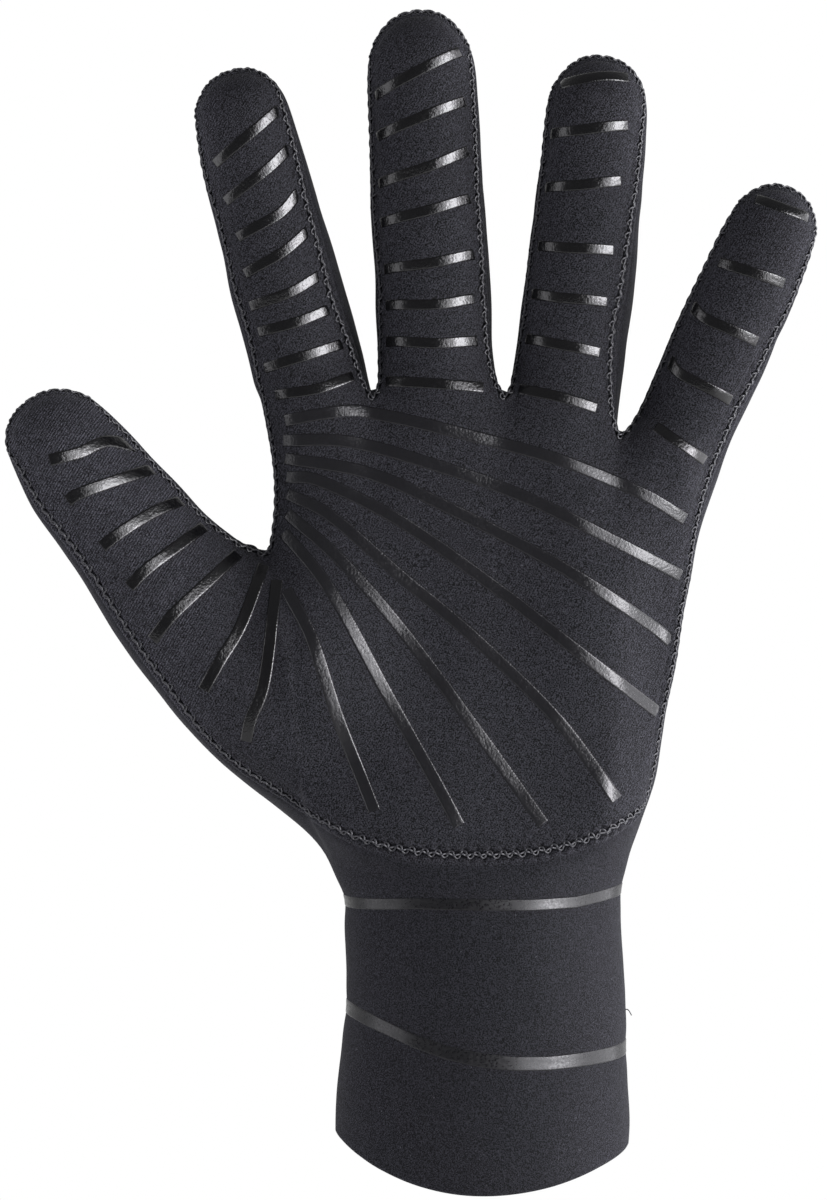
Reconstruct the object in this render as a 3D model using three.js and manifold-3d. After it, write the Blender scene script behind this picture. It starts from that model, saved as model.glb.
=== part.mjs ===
// A left-hand cycling glove with a long cuff, palm towards -Y, fingers up along +Z, thumb towards -X.
// It stands as it does when worn. All lengths are millimetres; the origin is the centre of the cuff's mouth.
import * as THREE from "three";
import { mergeVertices } from "three/addons/utils/BufferGeometryUtils.js";
import ManifoldModule from "manifold-3d";

// Cloth
const WALL = 2.5;
const PANEL_GAP = 0.3;
const NOTCH_REACH = 5;
// Silicone grip
const GRIP_LIFT = 0.4;
const GRIP_HEIGHT = 0.6;
const GRIP_SMOOTHING = 0.06;
const FINGER_GRIP_WIDTH = 2.3;
const PALM_GRIP_WIDTH = 2.7;
const UPPER_BAND_WIDTH = 2.4;
const LOWER_BAND_WIDTH = 3.0;
// The cage of the glove: quads along and across
const FINGER_FRONT = 5;
const SIDE = 3;
const PALM_FRONT = 4 * FINGER_FRONT;
const PALM_RING = 2 * (PALM_FRONT + SIDE);
const FINGER_RING = 2 * (FINGER_FRONT + SIDE);
const THUMB_TOP_ROW = 2;
const ARC_ROW = 7;
// How far behind the outline the back of a finger starts, and how far before it the seam runs at a tip
const BACK_TURN = 25;
const TIP_SEAM_TURN = 14;
const TIP_ROUNDS = 40;

// Finger: centre of its tip's dome, lean from upright towards +X, height of the dome, and how far the
// dome bends forward. Twist: how far the finger's root leans to the right, as a share of its half width.
const FINGERS = [
  { name: "index", x: -52.1, z: 231.9, lean: -14.1, tip: 10.4, bend: 9, twist: 0.16 },
  { name: "middle", x: -13.2, z: 242.5, lean: -2.6, tip: 12.4, bend: 8, twist: 0 },
  { name: "ring", x: 24.8, z: 233.3, lean: 6.2, tip: 11.7, bend: 9, twist: 0 },
  { name: "pinky", x: 62.6, z: 206.6, lean: 24.3, tip: 10.3, bend: 10, twist: 0 },
];

// Sections down each finger: distance from the dome, sideways shift, half width, and how far the seam
// runs inside the outline at the left and at the right.
const COLUMNS = ["down", "shift", "half", "leftSeam", "rightSeam"];
const SECTIONS = {
  index: [
    [0.0, -0.6, 10.5, 0.4, 1.2],
    [9.5, -0.8, 11.4, 0.6, 1.6],
    [18.9, -0.7, 11.5, 0.9, 2.1],
    [28.4, -0.5, 11.8, 1.1, 2.7],
    [37.8, -0.4, 12.4, 1.4, 3.3],
    [47.3, -0.1, 12.4, 1.6, 3.0],
    [56.8, -0.1, 12.5, 1.2, 2.0],
  ],
  middle: [
    [0.0, -0.3, 11.7, 0.5, 0.8],
    [10.6, -0.3, 12.2, 0.5, 1.0],
    [21.1, -0.3, 12.4, 0.6, 1.2],
    [31.7, -0.3, 12.6, 0.7, 1.4],
    [42.2, 0.1, 12.8, 0.8, 1.8],
    [52.8, 0.0, 12.9, 0.8, 1.6],
    [63.4, 0.0, 12.9, 0.6, 1.2],
  ],
  ring: [
    [0.0, 0.0, 11.0, 0.3, 0.9],
    [9.8, 0.3, 11.4, 0.4, 1.4],
    [19.6, 0.5, 11.7, 0.5, 2.0],
    [29.4, 0.4, 12.0, 0.6, 2.8],
    [39.2, 0.5, 12.2, 0.6, 3.4],
    [49.0, 0.3, 12.2, 0.6, 3.8],
    [58.7, 0.2, 12.3, 0.5, 3.0],
  ],
  pinky: [
    [0.0, 0.1, 9.9, 0.3, 0.6],
    [8.0, 0.4, 10.5, 0.3, 0.8],
    [15.9, 0.6, 10.8, 0.4, 1.0],
    [23.9, 0.6, 10.9, 0.4, 1.4],
    [31.8, 0.7, 10.9, 0.5, 1.8],
    [39.8, 0.8, 10.8, 0.5, 2.0],
    [47.4, 0.9, 10.9, 0.4, 2.2],
  ],
};
const FRONT_FULLNESS = 0.9;
const BACK_FULLNESS = 0.86;

// The thumb: sections from the tip's dome to the palm, each with its centre, half width, the turn of its
// section line from +X, the seam's insets, the middle's depth, its thickness before and behind that, and
// how much thinner it is at the web than at the outer edge.
const THUMB_COLUMNS = ["x", "z", "half", "turn", "outerSeam", "webSeam", "y", "front", "back", "thin"];
const THUMB_TIP = 11.0;
// The thumb leans: its outer edge stands nearer to the front, by this share of the half width.
const THUMB_TILT = 0.3;
const THUMB_SECTIONS = [
  [-92.2, 161.1, 11.5, 38.3, 1.6, 0.4, -13, 10.8, 10.2, 0],
  [-87.6, 154.6, 13.1, 38.3, 2.2, 0.5, -11.5, 12.0, 11.5, 0],
  [-82.6, 148.2, 13.7, 38.3, 2.8, 0.6, -10, 12.6, 12.0, 0],
  [-77.5, 142.0, 14.3, 38.3, 3.0, 0.6, -8.5, 13.2, 12.6, 0.03],
  [-72.7, 135.3, 15.1, 41, 3.2, 0.6, -7.5, 13.8, 13.2, 0.06],
  [-66.6, 127.6, 17.1, 53, 3.5, 0.6, -6.5, 14.6, 13.6, 0.14],
  [-59.2, 118.8, 20.9, 72, 3.8, 0.6, -5.5, 15.6, 14.0, 0.24],
  [-51.9, 112.6, 25.3, 85, 3.4, 0.6, -4.5, 16.6, 14.2, 0.34],
];

// Palm rows from the fingers' roots to the arc seam: height at the left seam, in the middle and at the
// right seam; where both seams run; and the front's depth at the left seam, in the middle and at the right.
const ROOTS = [[-48.2, 170.3], [-24.2, 170.6], [4.4, 170.7], [29.5, 162.2], [49.3, 153.1]];
const PALM_COLUMNS = ["leftZ", "midZ", "rightZ", "leftX", "rightX", "leftY", "frontY", "rightY"];
const PALM_ROWS = [
  [170.3, 171.4, 153.1, -48.2, 49.3, -6.5, -13.5, -6.5],
  [154.9, 157.2, 142.6, -45.7, 46.8, -7.5, -13.5, -6.5],
  [138.4, 142.9, 132.2, -46.4, 45.3, -8.5, -14.0, -6.0],
  [126.3, 128.7, 121.7, -45.8, 43.2, -16.5, -14.5, -5.5],
  [114.2, 114.4, 111.3, -44.2, 41.6, -20.5, -15.5, -5.5],
  [102.1, 100.2, 100.8, -42.7, 39.5, -21.0, -17.0, -5.5],
  [91.1, 85.9, 90.4, -41.4, 37.8, -18.0, -19.5, -5.5],
  [81.6, 71.7, 81.2, -40.3, 35.4, -10.5, -22.5, -6.5],
];
// The same rows on the sides and the back: outline at the left and right, height and depth of the back's
// left edge, its middle and its right edge.
const BACK_COLUMNS = [
  "outLeftX", "outRightX", "leftZ", "midZ", "rightZ", "leftX", "rightX", "leftY", "backY", "rightY",
];
const BACK_ROWS = [
  [-48.7, 51.2, 168.5, 166.0, 150.0, -47.4, 49.6, 6.0, 13.5, 6.5],
  [-46.2, 47.9, 153.0, 152.5, 140.5, -45.4, 46.6, 6.5, 15.0, 6.5],
  [-46.6, 46.0, 135.7, 139.0, 130.5, -45.6, 44.6, 5.5, 16.0, 6.5],
  [-46.0, 43.9, 124.5, 126.0, 120.5, -44.4, 42.5, 9.5, 16.5, 6.5],
  [-45.0, 42.3, 113.0, 113.0, 110.5, -43.0, 40.9, 11.5, 17.0, 6.5],
  [-44.0, 40.2, 101.5, 100.5, 100.0, -41.5, 38.7, 11.5, 18.0, 6.5],
  [-43.0, 38.8, 90.5, 88.0, 89.6, -40.4, 37.0, 10.0, 19.5, 6.5],
  [-43.8, 36.2, 77.8, 76.0, 80.0, -40.6, 34.6, 6.5, 21.0, 6.0],
];
// Swellings on the front of the palm: where, how far they stand out and how wide they are.
const SWELLINGS = [
  { x: -43, z: 117, rise: 3.0, wide: 13, tall: 18 },
  { x: -18, z: 92, rise: 2.0, wide: 16, tall: 12 },
  { x: -14, z: 114, rise: -1.5, wide: 11, tall: 26 },
  { x: 24, z: 118, rise: 4.5, wide: 15, tall: 29 },
  { x: 34, z: 86, rise: 3.2, wide: 15, tall: 11 },
];
const ROOT_ROUNDNESS = 3.4;

// Cuff rows: outline at the left and right, height in front, at the left, the right and behind, and depth.
const CUFF_COLUMNS = ["leftX", "rightX", "frontZ", "leftZ", "rightZ", "backZ", "front", "back"];
const CUFF_ROWS = [
  [-34.3, 32.6, 66.0, 70.3, 70.5, 69.0, 24.0, 22.0],
  [-30.9, 30.8, 60.2, 61.5, 61.5, 61.2, 24.4, 22.8],
  [-30.2, 30.8, 50.0, 51.0, 51.0, 50.5, 24.8, 23.6],
  [-30.0, 31.3, 39.5, 40.5, 40.5, 40.0, 25.2, 24.2],
  [-30.9, 31.9, 28.5, 31.0, 30.0, 30.0, 25.8, 25.0],
  [-31.9, 32.2, 17.5, 21.6, 19.8, 19.5, 26.4, 25.6],
  [-32.4, 32.4, 8.0, 14.2, 11.8, 11.5, 26.8, 26.0],
  [-32.5, 32.2, 0.0, 9.3, 6.6, 5.5, 27.0, 26.2],
];
const CUFF_SEAM_TURN = 12;

// Grip stripes: x and z of points along each stripe's middle, from its left end to its right end.
const GRIPS = {
  index: [
    [-58.3, 220.7, -49.5, 227.6, -44.3, 232.5],
    [-56.1, 212.7, -47.3, 219.0, -42.2, 224.2],
    [-53.5, 205.0, -44.5, 209.9, -40.0, 215.1],
    [-52.0, 197.2, -43.6, 201.7, -37.6, 207.2],
    [-50.9, 190.2, -41.9, 193.1, -34.8, 197.6],
    [-49.1, 184.6, -40.8, 186.6, -32.6, 190.2],
    [-47.8, 176.8, -38.5, 179.5, -30.6, 182.4],
    [-45.4, 170.9, -36.1, 172.2, -28.5, 175.2],
  ],
  middle: [
    [-23.7, 235.7, -13.9, 240.5, -5.2, 244.9],
    [-23.2, 227.0, -12.8, 230.8, -4.1, 234.4],
    [-23.0, 217.0, -11.7, 220.1, -3.4, 223.8],
    [-22.4, 208.5, -11.7, 210.8, -3.0, 213.7],
    [-21.7, 198.5, -11.3, 199.4, -2.1, 201.6],
    [-21.3, 190.7, -10.4, 190.5, -2.1, 192.0],
    [-21.3, 182.9, -10.4, 182.1, -1.3, 182.9],
    [-21.5, 174.1, -10.4, 173.3, 0.0, 172.6],
  ],
  ring: [
    [16.6, 238.0, 24.9, 239.3, 31.2, 239.4],
    [13.6, 227.5, 20.6, 227.6, 31.0, 228.8],
    [12.8, 216.1, 20.6, 216.0, 29.6, 217.0],
    [11.9, 203.5, 18.5, 202.6, 28.1, 202.2],
    [10.4, 193.3, 16.3, 192.0, 26.8, 191.1],
    [9.3, 183.5, 16.3, 181.9, 25.3, 180.2],
    [7.8, 172.4, 16.3, 170.5, 24.6, 168.1],
  ],
  pinky: [
    [58.8, 213.0, 64.8, 210.6, 70.1, 209.0],
    [51.0, 199.6, 55.1, 197.9, 64.9, 194.8],
    [45.3, 190.7, 48.6, 187.1, 59.4, 182.4],
    [40.5, 179.0, 43.2, 175.4, 54.0, 169.8],
    [37.5, 164.2, 42.2, 160.8, 48.4, 156.7],
  ],
  thumb: [
    [-93.0, 156.1, -86.6, 157.9, -81.2, 160.5, -75.0, 159.6],
    [-89.2, 147.4, -86.6, 149.1, -78.0, 152.4, -71.6, 154.9],
    [-82.0, 137.7, -78.0, 140.8, -71.6, 145.1, -65.2, 148.3],
    [-76.2, 129.1, -72.2, 133.1, -65.2, 138.7, -60.9, 142.3],
    [-71.3, 117.7, -66.9, 123.1, -58.8, 131.0, -53.6, 136.4],
    [-60.3, 107.0, -56.6, 113.5, -52.4, 120.9, -47.9, 134.0],
    [-51.3, 95.9, -50.2, 100.6, -47.2, 109.2, -44.9, 130.6],
  ],
  palm: [
    [-43.3, 165.3, -30.0, 167.4, -23.5, 166.8, -9.6, 163.6, 14.0, 157.4, 33.3, 149.9, 44.0, 143.9],
    [-43.7, 161.0, -28.9, 160.6, -11.8, 155.9, 7.5, 149.2, 29.0, 138.7, 43.2, 131.6],
    [-43.3, 157.1, -24.6, 153.7, -5.3, 145.1, 16.1, 133.8, 35.4, 121.6, 41.0, 117.3],
    [-43.0, 153.1, -35.3, 152.0, -18.2, 143.4, 3.3, 128.4, 20.4, 115.1, 38.2, 101.7],
    [-42.8, 149.4, -33.2, 144.5, -18.2, 131.6, -1.0, 117.1, 16.1, 100.1, 28.6, 83.2],
    [-42.8, 145.1, -31.0, 134.9, -18.2, 120.3, -1.0, 97.3, 12.6, 78.2],
    [-43.6, 141.0, -33.2, 128.4, -20.3, 104.8, -9.6, 85.6, -5.5, 77.9],
    [-42.8, 128.6, -37.0, 117.7, -31.0, 99.5, -23.7, 81.0],
  ],
};
// Heights of the two cuff bands at points across the front. Behind, each runs straight from side to side.
const UPPER_BAND = [[-31, 60.1], [-18, 61.2], [-3, 61.2], [12, 61.0], [23, 61.2], [31, 62.7]];
const LOWER_BAND = [
  [-31, 36.8], [-18, 31.9], [-10, 29.7], [-1, 28.2], [7, 27.4], [16, 27.2], [25, 27.6], [32, 27.9],
];

const RAD = Math.PI / 180;
const mix = (a, b, t) => a + (b - a) * t;
const named = (columns, row) => Object.fromEntries(columns.map((column, i) => [column, row[i]]));

function alongTable(points, x) {
  let i = 0;
  while (i < points.length - 2 && x > points[i + 1][0]) i += 1;
  const t = (x - points[i][0]) / (points[i + 1][0] - points[i][0]);
  return mix(points[i][1], points[i + 1][1], Math.min(Math.max(t, 0), 1));
}

// The glove's outer face as one mesh of shared points; each quad belongs to the palm or the back panel.
const points = [];
const quads = [];

function addPoint(x, y, z) {
  points.push(new THREE.Vector3(x, y, z));
  return points.length - 1;
}

function addQuad(panel, a, b, c, d) {
  quads.push({ panel, corners: [a, b, c, d] });
}

// Round a finger the points run: front from left to right, right side, back from right to left, left side.
function turnOf(k, leftTurn, rightTurn) {
  if (k <= FINGER_FRONT) return mix(180 - leftTurn, rightTurn, k / FINGER_FRONT);
  if (k <= FINGER_FRONT + SIDE) return mix(rightTurn, -BACK_TURN, (k - FINGER_FRONT) / SIDE);
  if (k <= 2 * FINGER_FRONT + SIDE) {
    return mix(-BACK_TURN, BACK_TURN - 180, (k - FINGER_FRONT - SIDE) / FINGER_FRONT);
  }
  return mix(BACK_TURN - 180, -180 - leftTurn, (k - 2 * FINGER_FRONT - SIDE) / SIDE);
}

function sectionRing(section) {
  const leftTurn = Math.acos(1 - section.leftSeam / section.half) / RAD;
  const rightTurn = Math.acos(1 - section.rightSeam / section.half) / RAD;
  const ring = [];
  for (let k = 0; k < FINGER_RING; k += 1) {
    const turn = turnOf(k, leftTurn, rightTurn) * RAD;
    const across = Math.cos(turn);
    const depth = Math.sin(turn) > 0 ? section.front : section.back;
    const lean = section.tilt * section.half * across;
    const y = section.y - depth * Math.sin(turn) * (1 - section.thin * across) + lean;
    ring.push(addPoint(
      section.x + section.half * across * section.right.x,
      y,
      section.z + section.half * across * section.right.y,
    ));
  }
  return { ring, leftTurn, rightTurn };
}

// A rounded tip: the seam runs over its top, before it the front patch and behind it the back patch.
function addTip(section, ends, tipHeight) {
  const place = (n) => addPoint(
    section.x + section.half * n.x * section.right.x + tipHeight * n.z * section.up.x,
    section.y + (n.y < 0 ? section.front : section.back) * n.y + section.tilt * section.half * n.x,
    section.z + section.half * n.x * section.right.y + tipHeight * n.z * section.up.y,
  );
  const ringNormal = (k) => {
    const turn = turnOf(k, ends.leftTurn, ends.rightTurn) * RAD;
    return new THREE.Vector3(Math.cos(turn), -Math.sin(turn), 0);
  };
  const seamNormal = (angle) => {
    const low = angle > 90 ? ends.leftTurn : ends.rightTurn;
    const turn = mix(low, TIP_SEAM_TURN, Math.sin(angle * RAD)) * RAD;
    const flat = Math.cos(turn);
    return new THREE.Vector3(Math.cos(angle * RAD) * flat, -Math.sin(turn), Math.sin(angle * RAD) * flat);
  };
  const blend = (a, b, t) => a.clone().lerp(b, t).normalize();
  const topAngles = [150, 126, 102, 78, 54, 30];
  const top = topAngles.map((angle) => seamNormal(angle));
  const leftRise = [ringNormal(0), seamNormal(165), top[0]];
  const rightRise = [ringNormal(FINGER_FRONT), seamNormal(15), top[FINGER_FRONT]];

  const rows = [ends.ring.slice(0, FINGER_FRONT + 1)];
  for (let level = 1; level <= 2; level += 1) {
    const row = [];
    for (let k = 0; k <= FINGER_FRONT; k += 1) {
      let normal = blend(ringNormal(k), top[k], level / 2);
      if (k === 0) normal = leftRise[level];
      if (k === FINGER_FRONT) normal = rightRise[level];
      row.push(place(normal));
    }
    rows.push(row);
  }
  for (let level = 0; level < 2; level += 1) {
    for (let k = 0; k < FINGER_FRONT; k += 1) {
      addQuad("palm", rows[level][k], rows[level][k + 1], rows[level + 1][k + 1], rows[level + 1][k]);
    }
  }

  // The back patch is five quads each way between the ring's back and the seam over the tip.
  const n = FINGER_FRONT;
  const grid = [];
  for (let row = 0; row <= n; row += 1) grid.push(new Array(n + 1).fill(null));
  const set = (row, column, index, normal) => {
    grid[row][column] = { index, normal };
  };
  for (let j = 0; j <= n; j += 1) {
    const k = FINGER_FRONT + SIDE + j;
    set(0, j, ends.ring[k], ringNormal(k));
    set(n, j, rows[2][n - j], top[n - j]);
  }
  for (let i = 1; i <= SIDE; i += 1) {
    const right = FINGER_FRONT + SIDE - i;
    const left = (2 * FINGER_FRONT + SIDE + i) % FINGER_RING;
    set(i, 0, ends.ring[right], ringNormal(right));
    set(i, n, ends.ring[left], ringNormal(left));
  }
  set(SIDE + 1, 0, rows[1][n], rightRise[1]);
  set(SIDE + 1, n, rows[1][0], leftRise[1]);
  const inner = [];
  for (let i = 1; i < n; i += 1) {
    for (let j = 1; j < n; j += 1) inner.push([i, j]);
  }
  for (const [i, j] of inner) set(i, j, null, new THREE.Vector3(0, 1, 1).normalize());
  for (let round = 0; round < TIP_ROUNDS; round += 1) {
    for (const [i, j] of inner) {
      const around = [grid[i - 1][j], grid[i + 1][j], grid[i][j - 1], grid[i][j + 1]];
      const normal = around.reduce((sum, point) => sum.add(point.normal), new THREE.Vector3());
      grid[i][j].normal = normal.normalize();
    }
  }
  for (const [i, j] of inner) grid[i][j].index = place(grid[i][j].normal);
  for (let i = 0; i < n; i += 1) {
    for (let j = 0; j < n; j += 1) {
      addQuad("back", grid[i][j].index, grid[i][j + 1].index, grid[i + 1][j + 1].index, grid[i + 1][j].index);
    }
  }
}

// Quads between two rings of a finger; the upper ring is nearer the tip.
function joinRings(upper, lower) {
  for (let k = 0; k < FINGER_RING; k += 1) {
    const next = (k + 1) % FINGER_RING;
    addQuad(k < FINGER_FRONT ? "palm" : "back", lower[k], lower[next], upper[next], upper[k]);
  }
}

// The palm: rows of points round the hand, first the front from left to right, then the right side, the
// back from right to left and the left side.
const palmShare = (row, column) => {
  const finger = Math.min(Math.floor(column / FINGER_FRONT), 3);
  const within = (column - finger * FINGER_FRONT) / FINGER_FRONT;
  const rootX = mix(ROOTS[finger][0], ROOTS[finger + 1][0], within);
  const atRoots = (rootX - ROOTS[0][0]) / (ROOTS[4][0] - ROOTS[0][0]);
  const turn = mix(180 - CUFF_SEAM_TURN, CUFF_SEAM_TURN, column / PALM_FRONT) * RAD;
  const atCuff = 0.5 + Math.cos(turn) / Math.cos(CUFF_SEAM_TURN * RAD) * 0.5;
  return mix(atRoots, atCuff, Math.min(row / ARC_ROW, 1));
};
const fullness = (share, power) => Math.pow(1 - Math.pow(Math.abs(2 * share - 1), power), 1 / 1.8);

function rootArch(column) {
  const within = (column % FINGER_FRONT) / FINGER_FRONT;
  return Math.sin(within * Math.PI);
}

function palmFrontPoint(row, column) {
  const r = named(PALM_COLUMNS, PALM_ROWS[row]);
  const share = palmShare(row, column);
  const x = mix(r.leftX, r.rightX, share);
  const sag = 1 - Math.pow(Math.abs(2 * share - 1), 2.5);
  const smooth = mix(r.leftZ, r.rightZ, share) + (r.midZ - (r.leftZ + r.rightZ) / 2) * sag;
  const first = named(PALM_COLUMNS, PALM_ROWS[0]);
  const rootShare = palmShare(0, column);
  const rootX = mix(first.leftX, first.rightX, rootShare);
  const rootSag = 1 - Math.pow(Math.abs(2 * rootShare - 1), 2.5);
  const rootSmooth = mix(first.leftZ, first.rightZ, rootShare)
    + (first.midZ - (first.leftZ + first.rightZ) / 2) * rootSag;
  const z = smooth + (alongTable(ROOTS, rootX) - rootSmooth) * Math.max(1 - row / 3, 0);
  const edge = mix(r.leftY, r.rightY, share);
  const atThumb = row > THUMB_TOP_ROW && row < ARC_ROW && share < 0.5;
  const bulge = atThumb ? Math.sin(share * Math.PI) ** 2 : fullness(share, 2.6);
  let y = edge + (r.frontY - (r.leftY + r.rightY) / 2) * bulge;
  if (row === 0) y = Math.max(y, -9.5);
  y -= rootArch(column) * ROOT_ROUNDNESS * Math.max(1 - row / 3, 0) ** 3;
  const inside = atThumb ? 1 : Math.min(share, 1 - share) * 8;
  for (const bump of SWELLINGS) {
    const away = ((x - bump.x) / bump.wide) ** 2 + ((z - bump.z) / bump.tall) ** 2;
    if (row > 0) y -= bump.rise * Math.exp(-away) * Math.min(inside, 1);
  }
  return addPoint(x, y, z);
}

function palmBackPoint(row, column) {
  const r = named(BACK_COLUMNS, BACK_ROWS[row]);
  const share = palmShare(row, column);
  const x = mix(r.leftX, r.rightX, share);
  const sag = 1 - Math.pow(Math.abs(2 * share - 1), 2.5);
  const z = mix(r.leftZ, r.rightZ, share) + (r.midZ - (r.leftZ + r.rightZ) / 2) * sag;
  const edge = mix(r.leftY, r.rightY, share);
  let y = edge + (r.backY - (r.leftY + r.rightY) / 2) * fullness(share, 2.4);
  if (row === 0) y = Math.min(y, 9);
  y += rootArch(column) * ROOT_ROUNDNESS * Math.max(1 - row / 3, 0) ** 3;
  return addPoint(x, y, z);
}

function sidePoints(row, front, back, outX) {
  const a = points[front];
  const b = points[back];
  const made = [];
  for (const t of [1 / 3, 2 / 3]) {
    made.push(addPoint(outX, mix(a.y, b.y, t), mix(a.z, b.z, t)));
  }
  return made;
}

const palmRings = [];
for (let row = 0; row <= ARC_ROW; row += 1) {
  const front = [];
  const back = [];
  for (let column = 0; column <= PALM_FRONT; column += 1) front.push(palmFrontPoint(row, column));
  for (let column = PALM_FRONT; column >= 0; column -= 1) back.push(palmBackPoint(row, column));
  const outline = named(BACK_COLUMNS, BACK_ROWS[row]);
  const right = sidePoints(row, front[PALM_FRONT], back[0], outline.outRightX);
  const openLeft = row > THUMB_TOP_ROW && row < ARC_ROW;
  const left = openLeft ? [null, null] : sidePoints(row, back[PALM_FRONT], front[0], outline.outLeftX);
  palmRings.push([...front, ...right, ...back, ...left]);
}

// The cuff goes on from the arc seam down to the mouth.
for (const cells of CUFF_ROWS) {
  const r = named(CUFF_COLUMNS, cells);
  const ring = [];
  const centre = (r.leftX + r.rightX) / 2;
  const half = (r.rightX - r.leftX) / 2;
  for (let i = 0; i < PALM_RING; i += 1) {
    let turn;
    if (i <= PALM_FRONT) turn = mix(180 - CUFF_SEAM_TURN, CUFF_SEAM_TURN, i / PALM_FRONT);
    else if (i <= PALM_FRONT + SIDE) turn = mix(CUFF_SEAM_TURN, -CUFF_SEAM_TURN, (i - PALM_FRONT) / SIDE);
    else if (i <= 2 * PALM_FRONT + SIDE) {
      turn = mix(-CUFF_SEAM_TURN, CUFF_SEAM_TURN - 180, (i - PALM_FRONT - SIDE) / PALM_FRONT);
    } else turn = mix(CUFF_SEAM_TURN - 180, -CUFF_SEAM_TURN - 180, (i - 2 * PALM_FRONT - SIDE) / SIDE);
    const forward = Math.sin(turn * RAD);
    const sideZ = mix(r.leftZ, r.rightZ, 0.5 + 0.5 * Math.cos(turn * RAD));
    const z = mix(sideZ, forward > 0 ? r.frontZ : r.backZ, forward * forward);
    const y = -forward * (forward > 0 ? r.front : r.back);
    ring.push(addPoint(centre + half * Math.cos(turn * RAD), y, z));
  }
  palmRings.push(ring);
}

for (let row = 0; row < palmRings.length - 1; row += 1) {
  const upper = palmRings[row];
  const lower = palmRings[row + 1];
  const leftStart = 2 * PALM_FRONT + SIDE;
  for (let i = 0; i < PALM_RING; i += 1) {
    const atThumb = i >= leftStart && row >= THUMB_TOP_ROW && row < ARC_ROW;
    if (atThumb) continue;
    const next = (i + 1) % PALM_RING;
    const panel = i < PALM_FRONT && row < ARC_ROW ? "palm" : "back";
    addQuad(panel, lower[i], lower[next], upper[next], upper[i]);
  }
}

// Fingers. Neighbours share the four points of the crotch between them.
const crotches = [];
for (let between = 1; between <= 3; between += 1) {
  const front = palmRings[0][between * FINGER_FRONT];
  const back = palmRings[0][PALM_FRONT + SIDE + (4 - between) * FINGER_FRONT];
  const a = points[front];
  const b = points[back];
  const middle = [1 / 3, 2 / 3].map((t) => {
    return addPoint(mix(a.x, b.x, t), mix(a.y, b.y, t), mix(a.z, b.z, t * t));
  });
  crotches.push([front, middle[0], middle[1], back]);
}

function fingerLength(finger) {
  return SECTIONS[finger.name].at(-1)[0] + 10;
}

function fingerDepth(finger, down) {
  const longest = fingerLength(finger);
  return -finger.bend * (Math.max(longest - down, 0) / longest) ** 1.5;
}

FINGERS.forEach((finger, order) => {
  const lean = finger.lean * RAD;
  const up = new THREE.Vector2(Math.sin(lean), Math.cos(lean));
  const right = new THREE.Vector2(Math.cos(lean), -Math.sin(lean));
  const rings = SECTIONS[finger.name].map((cells) => {
    const cell = named(COLUMNS, cells);
    const section = {
      ...cell,
      x: finger.x - cell.down * up.x + cell.shift * right.x,
      z: finger.z - cell.down * up.y + cell.shift * right.y,
      y: fingerDepth(finger, cell.down),
      front: cell.half * FRONT_FULLNESS,
      back: cell.half * BACK_FULLNESS,
      thin: 0,
      tilt: finger.twist * cell.down / fingerLength(finger),
      right,
      up,
    };
    return { section, ...sectionRing(section) };
  });
  addTip(rings[0].section, rings[0], finger.tip);
  for (let i = 0; i < rings.length - 1; i += 1) joinRings(rings[i].ring, rings[i + 1].ring);

  const first = palmRings[0];
  const root = [];
  for (let k = 0; k <= FINGER_FRONT; k += 1) root[k] = first[order * FINGER_FRONT + k];
  const backStart = PALM_FRONT + SIDE + (3 - order) * FINGER_FRONT;
  for (let k = 0; k <= FINGER_FRONT; k += 1) root[FINGER_FRONT + SIDE + k] = first[backStart + k];
  const rightPair = order < 3 ? crotches[order].slice(1, 3) : first.slice(PALM_FRONT + 1, PALM_FRONT + SIDE);
  const leftPair = order > 0
    ? [crotches[order - 1][2], crotches[order - 1][1]]
    : first.slice(2 * PALM_FRONT + SIDE + 1, PALM_RING);
  root.splice(FINGER_FRONT + 1, 2, ...rightPair);
  root.push(...leftPair);
  joinRings(rings.at(-1).ring, root);
});

// The thumb grows out of the left side between the web and the arc seam.
const thumbRings = THUMB_SECTIONS.map((cells, order) => {
  const cell = named(THUMB_COLUMNS, cells);
  const turn = cell.turn * RAD;
  const right = new THREE.Vector2(Math.cos(turn), Math.sin(turn));
  const section = {
    ...cell,
    leftSeam: cell.outerSeam,
    rightSeam: cell.webSeam,
    tilt: THUMB_TILT * Math.min((THUMB_SECTIONS.length - 1 - order) / 3, 1),
    right,
    up: new THREE.Vector2(-right.y, right.x),
  };
  return { section, ...sectionRing(section) };
});
addTip(thumbRings[0].section, thumbRings[0], THUMB_TIP);
for (let i = 0; i < thumbRings.length - 1; i += 1) joinRings(thumbRings[i].ring, thumbRings[i + 1].ring);
const thumbRoot = [];
const backLeft = 2 * PALM_FRONT + SIDE;
for (let row = ARC_ROW; row >= THUMB_TOP_ROW; row -= 1) thumbRoot.push(palmRings[row][0]);
thumbRoot.push(palmRings[THUMB_TOP_ROW][backLeft + 2], palmRings[THUMB_TOP_ROW][backLeft + 1]);
for (let row = THUMB_TOP_ROW; row <= ARC_ROW; row += 1) thumbRoot.push(palmRings[row][backLeft]);
thumbRoot.push(palmRings[ARC_ROW][backLeft + 1], palmRings[ARC_ROW][backLeft + 2]);
joinRings(thumbRings.at(-1).ring, thumbRoot);

// Outward directions at the points.
const normals = points.map(() => new THREE.Vector3());
for (const { corners } of quads) {
  for (let i = 0; i < 4; i += 1) {
    const here = points[corners[i]];
    const toNext = points[corners[(i + 1) % 4]].clone().sub(here);
    const toLast = points[corners[(i + 3) % 4]].clone().sub(here);
    const angle = toNext.angleTo(toLast);
    normals[corners[i]].addScaledVector(toNext.cross(toLast).normalize(), angle);
  }
}
normals.forEach((normal) => normal.normalize());

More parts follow.
